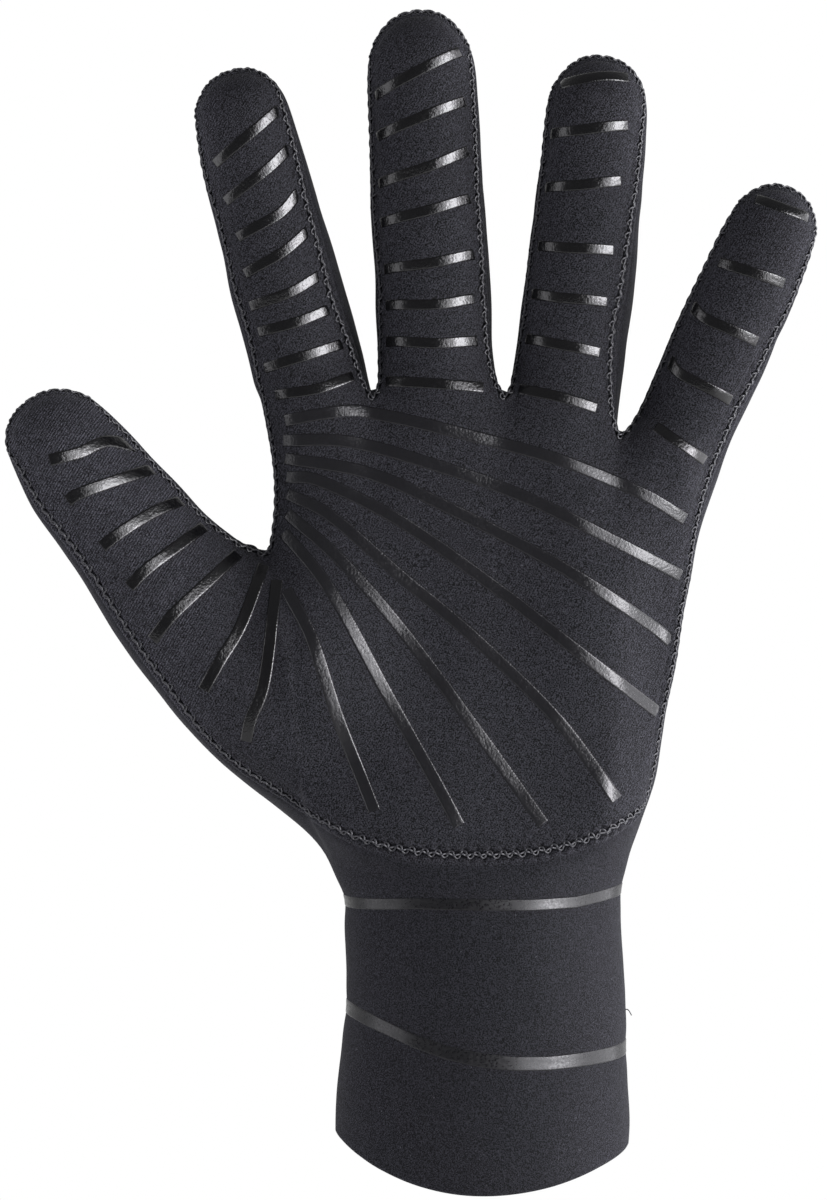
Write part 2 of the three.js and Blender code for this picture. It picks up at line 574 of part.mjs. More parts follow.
function geometryFrom(corners, triangles) {
  const geometry = new THREE.BufferGeometry();
  const places = corners.flatMap((p) => [p.x, p.y, p.z]);
  geometry.setAttribute("position", new THREE.Float32BufferAttribute(places, 3));
  geometry.setIndex(triangles);
  return geometry;
}

// A panel is its quads, the same quads one wall thickness further in, and a strip along every free edge.
function panelGeometry(panel, inset) {
  const faces = quads.filter((quad) => quad.panel === panel).map((quad) => quad.corners);
  const used = [...new Set(faces.flat())];
  const edges = new Map();
  for (const corners of faces) {
    corners.forEach((a, i) => edges.set(`${a},${corners[(i + 1) % 4]}`, [a, corners[(i + 1) % 4]]));
  }
  const free = [...edges.values()].filter(([a, b]) => !edges.has(`${b},${a}`));
  const shifts = new Map();
  if (inset > 0) {
    const after = new Map(free);
    for (const [before, here] of free) {
      const normal = normals[here];
      const inwards = [[before, here], [here, after.get(here)]].map(([a, b]) => {
        const along = points[b].clone().sub(points[a]).normalize();
        return normal.clone().cross(along).normalize();
      });
      const reach = 1 / Math.max(1 + inwards[0].dot(inwards[1]), 0.02);
      const shift = inwards[0].clone().add(inwards[1]).multiplyScalar(inset * reach);
      shifts.set(here, shift.clampLength(inset, inset * NOTCH_REACH));
    }
  }
  const place = new Map(used.map((index, order) => [index, order]));
  const outer = used.map((i) => points[i].clone().add(shifts.get(i) ?? new THREE.Vector3()));
  const inner = used.map((i, order) => outer[order].clone().addScaledVector(normals[i], -WALL));
  const count = used.length;
  const triangles = [];
  for (const corners of faces) {
    const [a, b, c, d] = corners.map((i) => place.get(i));
    triangles.push(a, b, c, a, c, d);
    triangles.push(a + count, c + count, b + count, a + count, d + count, c + count);
  }
  for (const [from, to] of free) {
    const a = place.get(from);
    const b = place.get(to);
    if (from < to) triangles.push(b, a, a + count, b, a + count, b + count);
    else triangles.push(a, a + count, b + count, a, b + count, b);
  }
  return geometryFrom([...outer, ...inner], triangles);
}

// Joining and cutting of closed bodies.
const manifold = await ManifoldModule();
manifold.setup();
const { Manifold, Mesh: ManifoldMesh } = manifold;

function solidFrom(geometry) {
  const merged = mergeVertices(stripped(geometry), 1e-4);
  return new Manifold(new ManifoldMesh({
    numProp: 3,
    vertProperties: new Float32Array(merged.attributes.position.array),
    triVerts: new Uint32Array(merged.index.array),
  }));
}

function stripped(geometry) {
  const plain = geometry.clone();
  for (const name of Object.keys(plain.attributes)) {
    if (name !== "position") plain.deleteAttribute(name);
  }
  return plain;
}

function geometryOf(solid) {
  const mesh = solid.getMesh();
  const geometry = new THREE.BufferGeometry();
  geometry.setAttribute("position", new THREE.Float32BufferAttribute(mesh.vertProperties, 3));
  geometry.setIndex(Array.from(mesh.triVerts));
  return geometry;
}

// The glove's outer face grown outwards and closed across the mouth.
function grown(by) {
  const corners = points.map((p, i) => p.clone().addScaledVector(normals[i], by));
  const triangles = [];
  for (const { corners: [a, b, c, d] } of quads) triangles.push(a, b, c, a, c, d);
  const mouth = palmRings.at(-1);
  const centre = new THREE.Vector3();
  mouth.forEach((i) => centre.add(corners[i]));
  corners.push(centre.divideScalar(mouth.length));
  mouth.forEach((i, order) => triangles.push(mouth[(order + 1) % mouth.length], i, corners.length - 1));
  return solidFrom(geometryFrom(corners, triangles));
}

const skin = grown(GRIP_LIFT + GRIP_HEIGHT).subtract(grown(GRIP_LIFT));

// A stripe's outline seen from the front: its middle line with half the width on each side.
function ribbon(cells, width) {
  const line = [];
  for (let i = 0; i < cells.length; i += 2) line.push(new THREE.Vector2(cells[i], cells[i + 1]));
  const curve = new THREE.SplineCurve(line);
  const steps = Math.max(Math.round(curve.getLength() / 11), 2);
  const left = [];
  const right = [];
  for (let i = 0; i <= steps; i += 1) {
    const here = curve.getPoint(i / steps);
    const along = curve.getTangent(i / steps);
    const aside = new THREE.Vector2(-along.y, along.x).multiplyScalar(width / 2);
    left.push(here.clone().add(aside));
    right.push(here.clone().sub(aside));
  }
  return new THREE.Shape([...right, ...left.reverse()]);
}

function gripGeometry(cells, width, backY) {
  const shape = ribbon(cells, width);
  const front = new THREE.ExtrudeGeometry(shape, { depth: 100, bevelEnabled: false, steps: 1 });
  front.rotateX(Math.PI / 2);
  front.translate(0, backY, 0);
  const bodies = skin.intersect(solidFrom(front)).decompose();
  bodies.sort((a, b) => b.volume() - a.volume());
  return geometryOf(bodies[0].simplify(GRIP_SMOOTHING));
}

// A stripe stays in front of the middle of the finger or the thumb that it lies on.
function middleDepth(part, cells) {
  const x = (cells[0] + cells.at(-2)) / 2;
  const z = (cells[1] + cells.at(-1)) / 2;
  const finger = FINGERS.find((one) => one.name === part);
  if (part === "palm") return -3;
  if (!finger) {
    const away = THUMB_SECTIONS.map(([sectionX, sectionZ]) => Math.hypot(sectionX - x, sectionZ - z));
    const nearest = THUMB_SECTIONS[away.indexOf(Math.min(...away))];
    return named(THUMB_COLUMNS, nearest).y;
  }
  return fingerDepth(finger, Math.hypot(finger.x - x, finger.z - z));
}

// The point on the cuff's outer face in one of its columns at a height, moved outwards.
function cuffPoint(column, z, out) {
  let row = ARC_ROW + 1;
  while (row < palmRings.length - 2 && points[palmRings[row + 1][column]].z > z) row += 1;
  const above = palmRings[row][column];
  const below = palmRings[row + 1][column];
  const t = (z - points[above].z) / (points[below].z - points[above].z);
  const outward = normals[above].clone().lerp(normals[below], t).normalize();
  return points[above].clone().lerp(points[below], t).addScaledVector(outward, out);
}

// A band runs round the cuff on its columns: four long edges joined into a flat strip. At the sides its
// height goes over from the front's table to the straight line across the back.
function bandGeometry(heights, width) {
  const [leftX, leftHeight] = heights[0];
  const [rightX, rightHeight] = heights.at(-1);
  const corners = [];
  const triangles = [];
  for (let column = 0; column < PALM_RING; column += 1) {
    const here = points[palmRings.at(-1)[column]];
    const behind = Math.min(Math.max(here.y / 20 + 0.5, 0), 1);
    const onBack = alongTable([[leftX, leftHeight], [rightX, rightHeight]], here.x);
    const z = mix(alongTable(heights, here.x), onBack, behind);
    const low = z - width / 2;
    const high = z + width / 2;
    const top = GRIP_LIFT + GRIP_HEIGHT;
    corners.push(cuffPoint(column, low, GRIP_LIFT), cuffPoint(column, low, top));
    corners.push(cuffPoint(column, high, top), cuffPoint(column, high, GRIP_LIFT));
    const next = (column + 1) % PALM_RING;
    for (let j = 0; j < 4; j += 1) {
      const a = column * 4 + j;
      const b = column * 4 + ((j + 1) % 4);
      const c = next * 4 + ((j + 1) % 4);
      const d = next * 4 + j;
      triangles.push(a, c, b, a, d, c);
    }
  }
  return geometryFrom(corners, triangles);
}

const glove = new THREE.Group();
glove.name = "cycling_glove";

function addPiece(name, geometry, colour, roughness) {
  const material = new THREE.MeshStandardMaterial({ color: colour, roughness, metalness: 0 });
  const mesh = new THREE.Mesh(geometry, material);
  mesh.name = name;
  glove.add(mesh);
}

const CLOTH = 0x26262a;
const SILICONE = 0x3c3c42;
addPiece("palm_panel", panelGeometry("palm", PANEL_GAP), CLOTH, 0.9);
addPiece("back_panel", panelGeometry("back", 0), CLOTH, 0.9);
for (const [part, rows] of Object.entries(GRIPS)) {
  const width = part === "palm" ? PALM_GRIP_WIDTH : FINGER_GRIP_WIDTH;
  rows.forEach((cells, i) => {
    const geometry = gripGeometry(cells, width, middleDepth(part, cells) - 1);
    addPiece(`${part}_grip_${i + 1}`, geometry, SILICONE, 0.25);
  });
}
addPiece("cuff_band_upper", bandGeometry(UPPER_BAND, UPPER_BAND_WIDTH), SILICONE, 0.25);
addPiece("cuff_band_lower", bandGeometry(LOWER_BAND, LOWER_BAND_WIDTH), SILICONE, 0.25);

export default glove;
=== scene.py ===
# The looks of a left-hand cycling glove of black foam cloth with silicone grip stripes. The glove stands
# as when worn: palm towards -Y, fingers up along +Z, thumb towards -X. Tables are in millimetres.
import math

import bpy
import numpy as np
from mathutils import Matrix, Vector, noise
from mathutils.bvhtree import BVHTree
from mathutils.kdtree import KDTree


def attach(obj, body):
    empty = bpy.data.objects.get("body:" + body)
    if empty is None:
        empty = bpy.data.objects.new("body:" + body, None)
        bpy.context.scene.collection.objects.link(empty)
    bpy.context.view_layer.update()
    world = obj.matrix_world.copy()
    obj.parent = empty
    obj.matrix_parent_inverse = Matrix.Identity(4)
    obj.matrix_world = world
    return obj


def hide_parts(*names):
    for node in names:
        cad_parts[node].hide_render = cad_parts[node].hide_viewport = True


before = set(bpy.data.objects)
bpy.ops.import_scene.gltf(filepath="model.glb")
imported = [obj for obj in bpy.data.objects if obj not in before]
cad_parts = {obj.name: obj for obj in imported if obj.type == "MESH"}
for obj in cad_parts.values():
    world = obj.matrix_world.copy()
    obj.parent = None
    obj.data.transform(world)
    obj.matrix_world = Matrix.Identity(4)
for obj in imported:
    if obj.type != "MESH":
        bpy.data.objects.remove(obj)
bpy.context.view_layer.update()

# Camera: level with the middle of the glove and 0.7 m in front of it, so that the picture is 265 mm tall
# where the glove's middle plane is.
CAMERA_X = -15.29
CAMERA_Z = 126.28
CAMERA_AWAY = 700.0
PICTURE_TALL = 265.4
camera_data = bpy.data.cameras.new("camera")
camera_data.sensor_fit = "AUTO"
camera_data.sensor_width = 36.0
camera_data.lens = 36.0 * CAMERA_AWAY / PICTURE_TALL
camera = bpy.data.objects.new("camera", camera_data)
camera.location = (CAMERA_X / 1000, -CAMERA_AWAY / 1000, CAMERA_Z / 1000)
camera.rotation_euler = (math.pi / 2, 0, 0)
bpy.context.scene.collection.objects.link(camera)
bpy.context.scene.camera = camera
bpy.context.scene.view_settings.view_transform = "Standard"

# Palm panel: one piece of 2.5 mm foam rubber with knit nylon on both faces, cut to cover the palm and the
# fronts of the fingers and the thumb, and stretched by the hand so that it is smooth and lightly swollen.
# Its edge is butted against the back panel and sinks where the seam thread pulls it down.
WALL = 2.5
# The two panels' numbers in the mesh
PALM = 0
BACK = 1
# Quads of the cage across a finger's front, round its side, across the palm, and in a whole ring
FINGER_FRONT = 5
SIDE = 3
PALM_FRONT = 4 * FINGER_FRONT
PALM_RING = 2 * (PALM_FRONT + SIDE)
FINGER_RING = 2 * (FINGER_FRONT + SIDE)
# The palm's rows where the thumb's opening starts, and where the seam's arc crosses the heel of the hand
THUMB_TOP_ROW = 2
ARC_ROW = 7
# Degrees from the side: where a finger's back begins, and how far in front the seam lies at tips and cuff
BACK_TURN = 25
TIP_SEAM_TURN = 14
CUFF_SEAM_TURN = 12
# Finger: tip dome's centre x and z, lean, height of the dome, forward bend, twist
FINGERS = {
    "index": (-52.1, 231.9, -14.1, 10.4, 9, 0.16),
    "middle": (-13.2, 242.5, -2.6, 12.4, 8, 0),
    "ring": (24.8, 233.3, 6.2, 11.7, 9, 0),
    "pinky": (62.6, 206.6, 24.3, 10.3, 10, 0),
}
# Finger sections: distance down from the dome, shift, half width, seam's inset at the left and at the right
SECTIONS = {
    "index": [
        (0.0, -0.6, 10.5, 0.4, 1.2),
        (9.5, -0.8, 11.4, 0.6, 1.6),
        (18.9, -0.7, 11.5, 0.9, 2.1),
        (28.4, -0.5, 11.8, 1.1, 2.7),
        (37.8, -0.4, 12.4, 1.4, 3.3),
        (47.3, -0.1, 12.4, 1.6, 3.0),
        (56.8, -0.1, 12.5, 1.2, 2.0),
    ],
    "middle": [
        (0.0, -0.3, 11.7, 0.5, 0.8),
        (10.6, -0.3, 12.2, 0.5, 1.0),
        (21.1, -0.3, 12.4, 0.6, 1.2),
        (31.7, -0.3, 12.6, 0.7, 1.4),
        (42.2, 0.1, 12.8, 0.8, 1.8),
        (52.8, 0.0, 12.9, 0.8, 1.6),
        (63.4, 0.0, 12.9, 0.6, 1.2),
    ],
    "ring": [
        (0.0, 0.0, 11.0, 0.3, 0.9),
        (9.8, 0.3, 11.4, 0.4, 1.4),
        (19.6, 0.5, 11.7, 0.5, 2.0),
        (29.4, 0.4, 12.0, 0.6, 2.8),
        (39.2, 0.5, 12.2, 0.6, 3.4),
        (49.0, 0.3, 12.2, 0.6, 3.8),
        (58.7, 0.2, 12.3, 0.5, 3.0),
    ],
    "pinky": [
        (0.0, 0.1, 9.9, 0.3, 0.6),
        (8.0, 0.4, 10.5, 0.3, 0.8),
        (15.9, 0.6, 10.8, 0.4, 1.0),
        (23.9, 0.6, 10.9, 0.4, 1.4),
        (31.8, 0.7, 10.9, 0.5, 1.8),
        (39.8, 0.8, 10.8, 0.5, 2.0),
        (47.4, 0.9, 10.9, 0.4, 2.2),
    ],
}
# A finger's depth in front and behind, as shares of its half width; it bends from this far below its sections
FRONT_FULLNESS = 0.9
BACK_FULLNESS = 0.86
BEND_BELOW = 10
# Thumb: height of its tip's dome, and how far its face turns. Its sections: x, z, half width, turn, outer
# and web seam insets, y, depth in front and behind, thinning
THUMB_TIP = 11.0
THUMB_TILT = 0.3
THUMB_SECTIONS = [
    (-92.2, 161.1, 11.5, 38.3, 1.6, 0.4, -13, 10.8, 10.2, 0),
    (-87.6, 154.6, 13.1, 38.3, 2.2, 0.5, -11.5, 12.0, 11.5, 0),
    (-82.6, 148.2, 13.7, 38.3, 2.8, 0.6, -10, 12.6, 12.0, 0),
    (-77.5, 142.0, 14.3, 38.3, 3.0, 0.6, -8.5, 13.2, 12.6, 0.03),
    (-72.7, 135.3, 15.1, 41, 3.2, 0.6, -7.5, 13.8, 13.2, 0.06),
    (-66.6, 127.6, 17.1, 53, 3.5, 0.6, -6.5, 14.6, 13.6, 0.14),
    (-59.2, 118.8, 20.9, 72, 3.8, 0.6, -5.5, 15.6, 14.0, 0.24),
    (-51.9, 112.6, 25.3, 85, 3.4, 0.6, -4.5, 16.6, 14.2, 0.34),
]
# Palm rows: z at the left, middle and right, x at the left and right seam, y at the left, middle and right
ROOTS = [(-48.2, 170.3), (-24.2, 170.6), (4.4, 170.7), (29.5, 162.2), (49.3, 153.1)]
PALM_ROWS = [
    (170.3, 171.4, 153.1, -48.2, 49.3, -6.5, -13.5, -6.5),
    (154.9, 157.2, 142.6, -45.7, 46.8, -7.5, -13.5, -6.5),
    (138.4, 142.9, 132.2, -46.4, 45.3, -8.5, -14.0, -6.0),
    (126.3, 128.7, 121.7, -45.8, 43.2, -15.5, -14.5, -5.5),
    (114.2, 114.4, 111.3, -44.2, 41.6, -18.5, -15.5, -5.5),
    (102.1, 100.2, 100.8, -42.7, 39.5, -18.5, -17.0, -5.5),
    (91.1, 85.9, 90.4, -41.4, 37.8, -16.5, -19.5, -5.5),
    (81.6, 71.7, 81.2, -40.3, 35.4, -10.5, -22.5, -6.5),
]
# The same rows behind: outline at the left and right, then as above for the back
BACK_ROWS = [
    (-48.7, 51.2, 168.5, 166.0, 150.0, -47.4, 49.6, 6.0, 13.5, 6.5),
    (-46.2, 47.9, 153.0, 152.5, 140.5, -45.4, 46.6, 6.5, 15.0, 6.5),
    (-46.6, 46.0, 135.7, 139.0, 130.5, -45.6, 44.6, 5.5, 16.0, 6.5),
    (-46.0, 43.9, 124.5, 126.0, 120.5, -44.4, 42.5, 9.5, 16.5, 6.5),
    (-45.0, 42.3, 113.0, 113.0, 110.5, -43.0, 40.9, 11.5, 17.0, 6.5),
    (-44.0, 40.2, 101.5, 100.5, 100.0, -41.5, 38.7, 11.5, 18.0, 6.5),
    (-43.0, 38.8, 90.5, 88.0, 89.6, -40.4, 37.0, 10.0, 19.5, 6.5),
    (-43.8, 36.2, 77.8, 76.0, 80.0, -40.6, 34.6, 6.5, 21.0, 6.0),
]
# Swellings: x, z, rise, width, height
SWELLINGS = [
    (-39, 113, 4.2, 14, 20),
    (-18, 92, 2.0, 16, 12),
    (-14, 114, -1.5, 11, 26),
    (24, 118, 4.5, 15, 29),
    (34, 86, 3.2, 15, 11),
]
# The fingers' roots: how far they arch out between the crotches and over how many rows that fades, and
# their furthest y in front and behind
ROOT_ROUNDNESS = 3.4
ROOT_ROWS = 3
ROOT_FRONT_Y = -9.5
ROOT_BACK_Y = 9
# How boxy the palm's cross section is in front and behind, how its edges round, and how its rows sag
FRONT_BOXY = 2.6
BACK_BOXY = 2.4
EDGE_ROUND = 1.8
ROW_SAG = 2.5
# Cuff rows: outline at the left and right, z in front, at the left, right and behind, depths
CUFF_ROWS = [
    (-34.3, 32.6, 66.0, 70.3, 70.5, 69.0, 24.0, 22.0),
    (-30.9, 30.8, 60.2, 61.5, 61.5, 61.2, 24.4, 22.8),
    (-30.2, 30.8, 50.0, 51.0, 51.0, 50.5, 24.8, 23.6),
    (-30.0, 31.3, 39.5, 40.5, 40.5, 40.0, 25.2, 24.2),
    (-30.9, 31.9, 28.5, 31.0, 30.0, 30.0, 25.8, 25.0),
    (-31.9, 32.2, 17.5, 21.6, 19.8, 19.5, 26.4, 25.6),
    (-32.4, 32.4, 8.0, 14.2, 11.8, 11.5, 26.8, 26.0),
    (-32.5, 32.2, 0.0, 9.3, 6.6, 5.5, 27.0, 26.2),
]

cage_points = []
cage_quads = []
cage_panels = []


def mix(a, b, t):
    return a + (b - a) * t


def add_point(x, y, z):
    cage_points.append((x, y, z))
    return len(cage_points) - 1


def add_quad(panel, a, b, c, d):
    cage_quads.append((a, b, c, d))
    cage_panels.append(panel)


def ring_turn(k, front, stops):
    """Degrees round a ring at its point k; stops are the turns where its front, side, back and side meet."""
    for start, end, count in zip(stops, stops[1:], (front, SIDE, front, SIDE)):
        if k <= count:
            return mix(start, end, k / count)
        k -= count


def make_section(x, z, half, left_seam, right_seam, y, front, back, thin, right, tilt=0):
    left_turn = math.degrees(math.acos(1 - left_seam / half))
    right_turn = math.degrees(math.acos(1 - right_seam / half))
    return {
        "x": x, "y": y, "z": z, "half": half, "front": front, "back": back, "thin": thin,
        "right": right, "up": (-right[1], right[0]), "tilt": tilt * half,
        "left_turn": left_turn, "right_turn": right_turn,
        "stops": (180 - left_turn, right_turn, -BACK_TURN, BACK_TURN - 180, -180 - left_turn),
    }


def section_point(s, v, height=0):
    """The point of a section, or of the tip above it, that lies in the direction v from its centre."""
    depth = s["front"] if v[1] < 0 else s["back"]
    return add_point(
        s["x"] + s["half"] * v[0] * s["right"][0] + height * v[2] * s["up"][0],
        s["y"] + depth * v[1] * (1 - s["thin"] * v[0]) + s["tilt"] * v[0],
        s["z"] + s["half"] * v[0] * s["right"][1] + height * v[2] * s["up"][1],
    )


def ring_normal(s, k):
    turn = math.radians(ring_turn(k, FINGER_FRONT, s["stops"]))
    return np.array((math.cos(turn), -math.sin(turn), 0.0))


def section_ring(s):
    return [section_point(s, ring_normal(s, k)) for k in range(FINGER_RING)]


def unit(v):
    return v / np.linalg.norm(v)


def add_tip(s, ring, height):
    """The rounded tip: a front patch and a back patch that meet at the seam over its top.

    Angles over the tip run from 0 degrees at its right side to 180 at its left.
    """
    n = FINGER_FRONT
    smoothing_passes = 60

    def seam_normal(angle):
        low = s["left_turn"] if angle > 90 else s["right_turn"]
        a = math.radians(angle)
        turn = math.radians(mix(low, TIP_SEAM_TURN, math.sin(a)))
        return np.array((math.cos(a) * math.cos(turn), -math.sin(turn), math.sin(a) * math.cos(turn)))

    top = [seam_normal(angle) for angle in (150, 126, 102, 78, 54, 30)]
    left = [ring_normal(s, 0), seam_normal(165), top[0]]
    right = [ring_normal(s, n), seam_normal(15), top[n]]
    rows = [ring[: n + 1]]
    for level in (1, 2):
        normals = [unit(mix(ring_normal(s, k), top[k], level / 2)) for k in range(n + 1)]
        normals[0] = left[level]
        normals[n] = right[level]
        rows.append([section_point(s, v, height) for v in normals])
    for level in range(2):
        for k in range(n):
            add_quad(PALM, rows[level][k], rows[level][k + 1], rows[level + 1][k + 1], rows[level + 1][k])
    index = [[None] * (n + 1) for _ in range(n + 1)]
    normal = np.zeros((n + 1, n + 1, 3))
    normal[:] = unit(np.array((0.0, 1.0, 1.0)))

    def fix(i, j, point, v):
        index[i][j] = point
        normal[i, j] = v

    for j in range(n + 1):
        fix(0, j, ring[n + SIDE + j], ring_normal(s, n + SIDE + j))
        fix(n, j, rows[2][n - j], top[n - j])
    for i in range(1, SIDE + 1):
        fix(i, 0, ring[n + SIDE - i], ring_normal(s, n + SIDE - i))
        k = (2 * n + SIDE + i) % FINGER_RING
        fix(i, n, ring[k], ring_normal(s, k))
    fix(SIDE + 1, 0, rows[1][n], right[1])
    fix(SIDE + 1, n, rows[1][0], left[1])
    for _ in range(smoothing_passes):
        around = normal[:-2, 1:-1] + normal[2:, 1:-1] + normal[1:-1, :-2] + normal[1:-1, 2:]
        normal[1:-1, 1:-1] = around / np.linalg.norm(around, axis=2, keepdims=True)
    for i in range(1, n):
        for j in range(1, n):
            index[i][j] = section_point(s, normal[i, j], height)
    for i in range(n):
        for j in range(n):
            add_quad(BACK, index[i][j], index[i][j + 1], index[i + 1][j + 1], index[i + 1][j])


def join_rings(upper, lower):
    for k in range(FINGER_RING):
        after = (k + 1) % FINGER_RING
        add_quad(PALM if k < FINGER_FRONT else BACK, lower[k], lower[after], upper[after], upper[k])


def palm_share(row, column):
    finger = min(column // FINGER_FRONT, 3)
    within = (column - finger * FINGER_FRONT) / FINGER_FRONT
    root_x = mix(ROOTS[finger][0], ROOTS[finger + 1][0], within)
    at_roots = (root_x - ROOTS[0][0]) / (ROOTS[4][0] - ROOTS[0][0])
    turn = math.radians(mix(180 - CUFF_SEAM_TURN, CUFF_SEAM_TURN, column / PALM_FRONT))
    at_cuff = 0.5 + 0.5 * math.cos(turn) / math.cos(math.radians(CUFF_SEAM_TURN))
    return mix(at_roots, at_cuff, min(row / ARC_ROW, 1))


def fullness(share, power):
    return max(1 - abs(2 * share - 1) ** power, 0) ** (1 / EDGE_ROUND)


def sag(share):
    return 1 - abs(2 * share - 1) ** ROW_SAG


def root_arch(row, column):
    across = math.sin((column % FINGER_FRONT) / FINGER_FRONT * math.pi)
    return across * ROOT_ROUNDNESS * max(1 - row / ROOT_ROWS, 0) ** 3


def row_place(share, left_z, mid_z, right_z, left_x, right_x):
    z = mix(left_z, right_z, share) + (mid_z - (left_z + right_z) / 2) * sag(share)
    return mix(left_x, right_x, share), z


def palm_front_point(row, column):
    left_y, front_y, right_y = PALM_ROWS[row][5:]
    share = palm_share(row, column)
    x, z = row_place(share, *PALM_ROWS[row][:5])
    root_x, root_z = row_place(palm_share(0, column), *PALM_ROWS[0][:5])
    true_z = np.interp(root_x, [p[0] for p in ROOTS], [p[1] for p in ROOTS])
    z += (true_z - root_z) * max(1 - row / ROOT_ROWS, 0)
    at_thumb = THUMB_TOP_ROW < row < ARC_ROW and share < 0.5
    bulge = math.sin(share * math.pi) ** 2 if at_thumb else fullness(share, FRONT_BOXY)
    y = mix(left_y, right_y, share) + (front_y - (left_y + right_y) / 2) * bulge
    if row == 0:
        y = max(y, ROOT_FRONT_Y)
    y -= root_arch(row, column)
    inside = 1 if at_thumb else min(min(share, 1 - share) * 8, 1)
    if row > 0:
        for bump_x, bump_z, rise, wide, tall in SWELLINGS:
            away = ((x - bump_x) / wide) ** 2 + ((z - bump_z) / tall) ** 2
            y -= rise * math.exp(-away) * inside
    return add_point(x, y, z)


def palm_back_point(row, column):
    left_y, back_y, right_y = BACK_ROWS[row][7:]
    share = palm_share(row, column)
    x, z = row_place(share, *BACK_ROWS[row][2:7])
    y = mix(left_y, right_y, share) + (back_y - (left_y + right_y) / 2) * fullness(share, BACK_BOXY)
    if row == 0:
        y = min(y, ROOT_BACK_Y)
    return add_point(x, y + root_arch(row, column), z)


def side_points(front, back, out_x):
    a = cage_points[front]
    b = cage_points[back]
    return [add_point(out_x, mix(a[1], b[1], t), mix(a[2], b[2], t)) for t in (1 / 3, 2 / 3)]


palm_rings = []
for row in range(ARC_ROW + 1):
    front = [palm_front_point(row, column) for column in range(PALM_FRONT + 1)]
    back = [palm_back_point(row, column) for column in range(PALM_FRONT, -1, -1)]
    right_side = side_points(front[-1], back[0], BACK_ROWS[row][1])
    left_side = [None, None]
    if row <= THUMB_TOP_ROW or row == ARC_ROW:
        left_side = side_points(back[-1], front[0], BACK_ROWS[row][0])
    palm_rings.append(front + right_side + back + left_side)

cuff_stops = (
    180 - CUFF_SEAM_TURN, CUFF_SEAM_TURN, -CUFF_SEAM_TURN, CUFF_SEAM_TURN - 180, -CUFF_SEAM_TURN - 180,
)
for left_x, right_x, front_z, left_z, right_z, back_z, deep_front, deep_back in CUFF_ROWS:
    ring = []
    for i in range(PALM_RING):
        turn = math.radians(ring_turn(i, PALM_FRONT, cuff_stops))
        forward = math.sin(turn)
        across = math.cos(turn)
        side_z = mix(left_z, right_z, 0.5 + 0.5 * across)
        z = mix(side_z, front_z if forward > 0 else back_z, forward * forward)
        y = -forward * (deep_front if forward > 0 else deep_back)
        ring.append(add_point((left_x + right_x) / 2 + (right_x - left_x) / 2 * across, y, z))
    palm_rings.append(ring)

for row, (upper, lower) in enumerate(zip(palm_rings, palm_rings[1:])):
    for i in range(PALM_RING):
        if i >= 2 * PALM_FRONT + SIDE and THUMB_TOP_ROW <= row < ARC_ROW:
            continue
        after = (i + 1) % PALM_RING
        panel = PALM if i < PALM_FRONT and row < ARC_ROW else BACK
        add_quad(panel, lower[i], lower[after], upper[after], upper[i])

crotches = []
for between in (1, 2, 3):
    front = palm_rings[0][between * FINGER_FRONT]
    back = palm_rings[0][PALM_FRONT + SIDE + (4 - between) * FINGER_FRONT]
    a = cage_points[front]
    b = cage_points[back]
    middle = []
    for t in (1 / 3, 2 / 3):
        middle.append(add_point(mix(a[0], b[0], t), mix(a[1], b[1], t), mix(a[2], b[2], t * t)))
    crotches.append([front, *middle, back])

for order, (name, (dome_x, dome_z, lean, tip_height, bend, twist)) in enumerate(FINGERS.items()):
    lean = math.radians(lean)
    right = (math.cos(lean), -math.sin(lean))
    longest = SECTIONS[name][-1][0] + BEND_BELOW
    rings = []
    for down, shift, half, left_seam, right_seam in SECTIONS[name]:
        section = make_section(
            dome_x - down * math.sin(lean) + shift * right[0],
            dome_z - down * math.cos(lean) + shift * right[1],
            half, left_seam, right_seam,
            -bend * (max(longest - down, 0) / longest) ** 1.5,
            half * FRONT_FULLNESS, half * BACK_FULLNESS, 0, right, twist * down / longest,
        )
        rings.append(section_ring(section))
        if down == 0:
            add_tip(section, rings[0], tip_height)
    for upper, lower in zip(rings, rings[1:]):
        join_rings(upper, lower)
    first = palm_rings[0]
    back_start = PALM_FRONT + SIDE + (3 - order) * FINGER_FRONT
    root = first[order * FINGER_FRONT: (order + 1) * FINGER_FRONT + 1]
    root += crotches[order][1:3] if order < 3 else first[PALM_FRONT + 1: PALM_FRONT + SIDE]
    root += first[back_start: back_start + FINGER_FRONT + 1]
    root += crotches[order - 1][2:0:-1] if order else first[2 * PALM_FRONT + SIDE + 1:]
    join_rings(rings[-1], root)

thumb_rings = []
for order, cells in enumerate(THUMB_SECTIONS):
    x, z, half, turn, outer_seam, web_seam, y, deep_front, deep_back, thin = cells
    right = (math.cos(math.radians(turn)), math.sin(math.radians(turn)))
    tilt = THUMB_TILT * min((len(THUMB_SECTIONS) - 1 - order) / 3, 1)
    section = make_section(x, z, half, outer_seam, web_seam, y, deep_front, deep_back, thin, right, tilt)
    thumb_rings.append(section_ring(section))
    if len(thumb_rings) == 1:
        add_tip(section, thumb_rings[0], THUMB_TIP)
for upper, lower in zip(thumb_rings, thumb_rings[1:]):
    join_rings(upper, lower)
back_left = 2 * PALM_FRONT + SIDE
thumb_root = [palm_rings[row][0] for row in range(ARC_ROW, THUMB_TOP_ROW - 1, -1)]
thumb_root += [palm_rings[THUMB_TOP_ROW][back_left + 2], palm_rings[THUMB_TOP_ROW][back_left + 1]]
thumb_root += [palm_rings[row][back_left] for row in range(THUMB_TOP_ROW, ARC_ROW + 1)]
thumb_root += [palm_rings[ARC_ROW][back_left + 1], palm_rings[ARC_ROW][back_left + 2]]
join_rings(thumb_rings[-1], thumb_root)


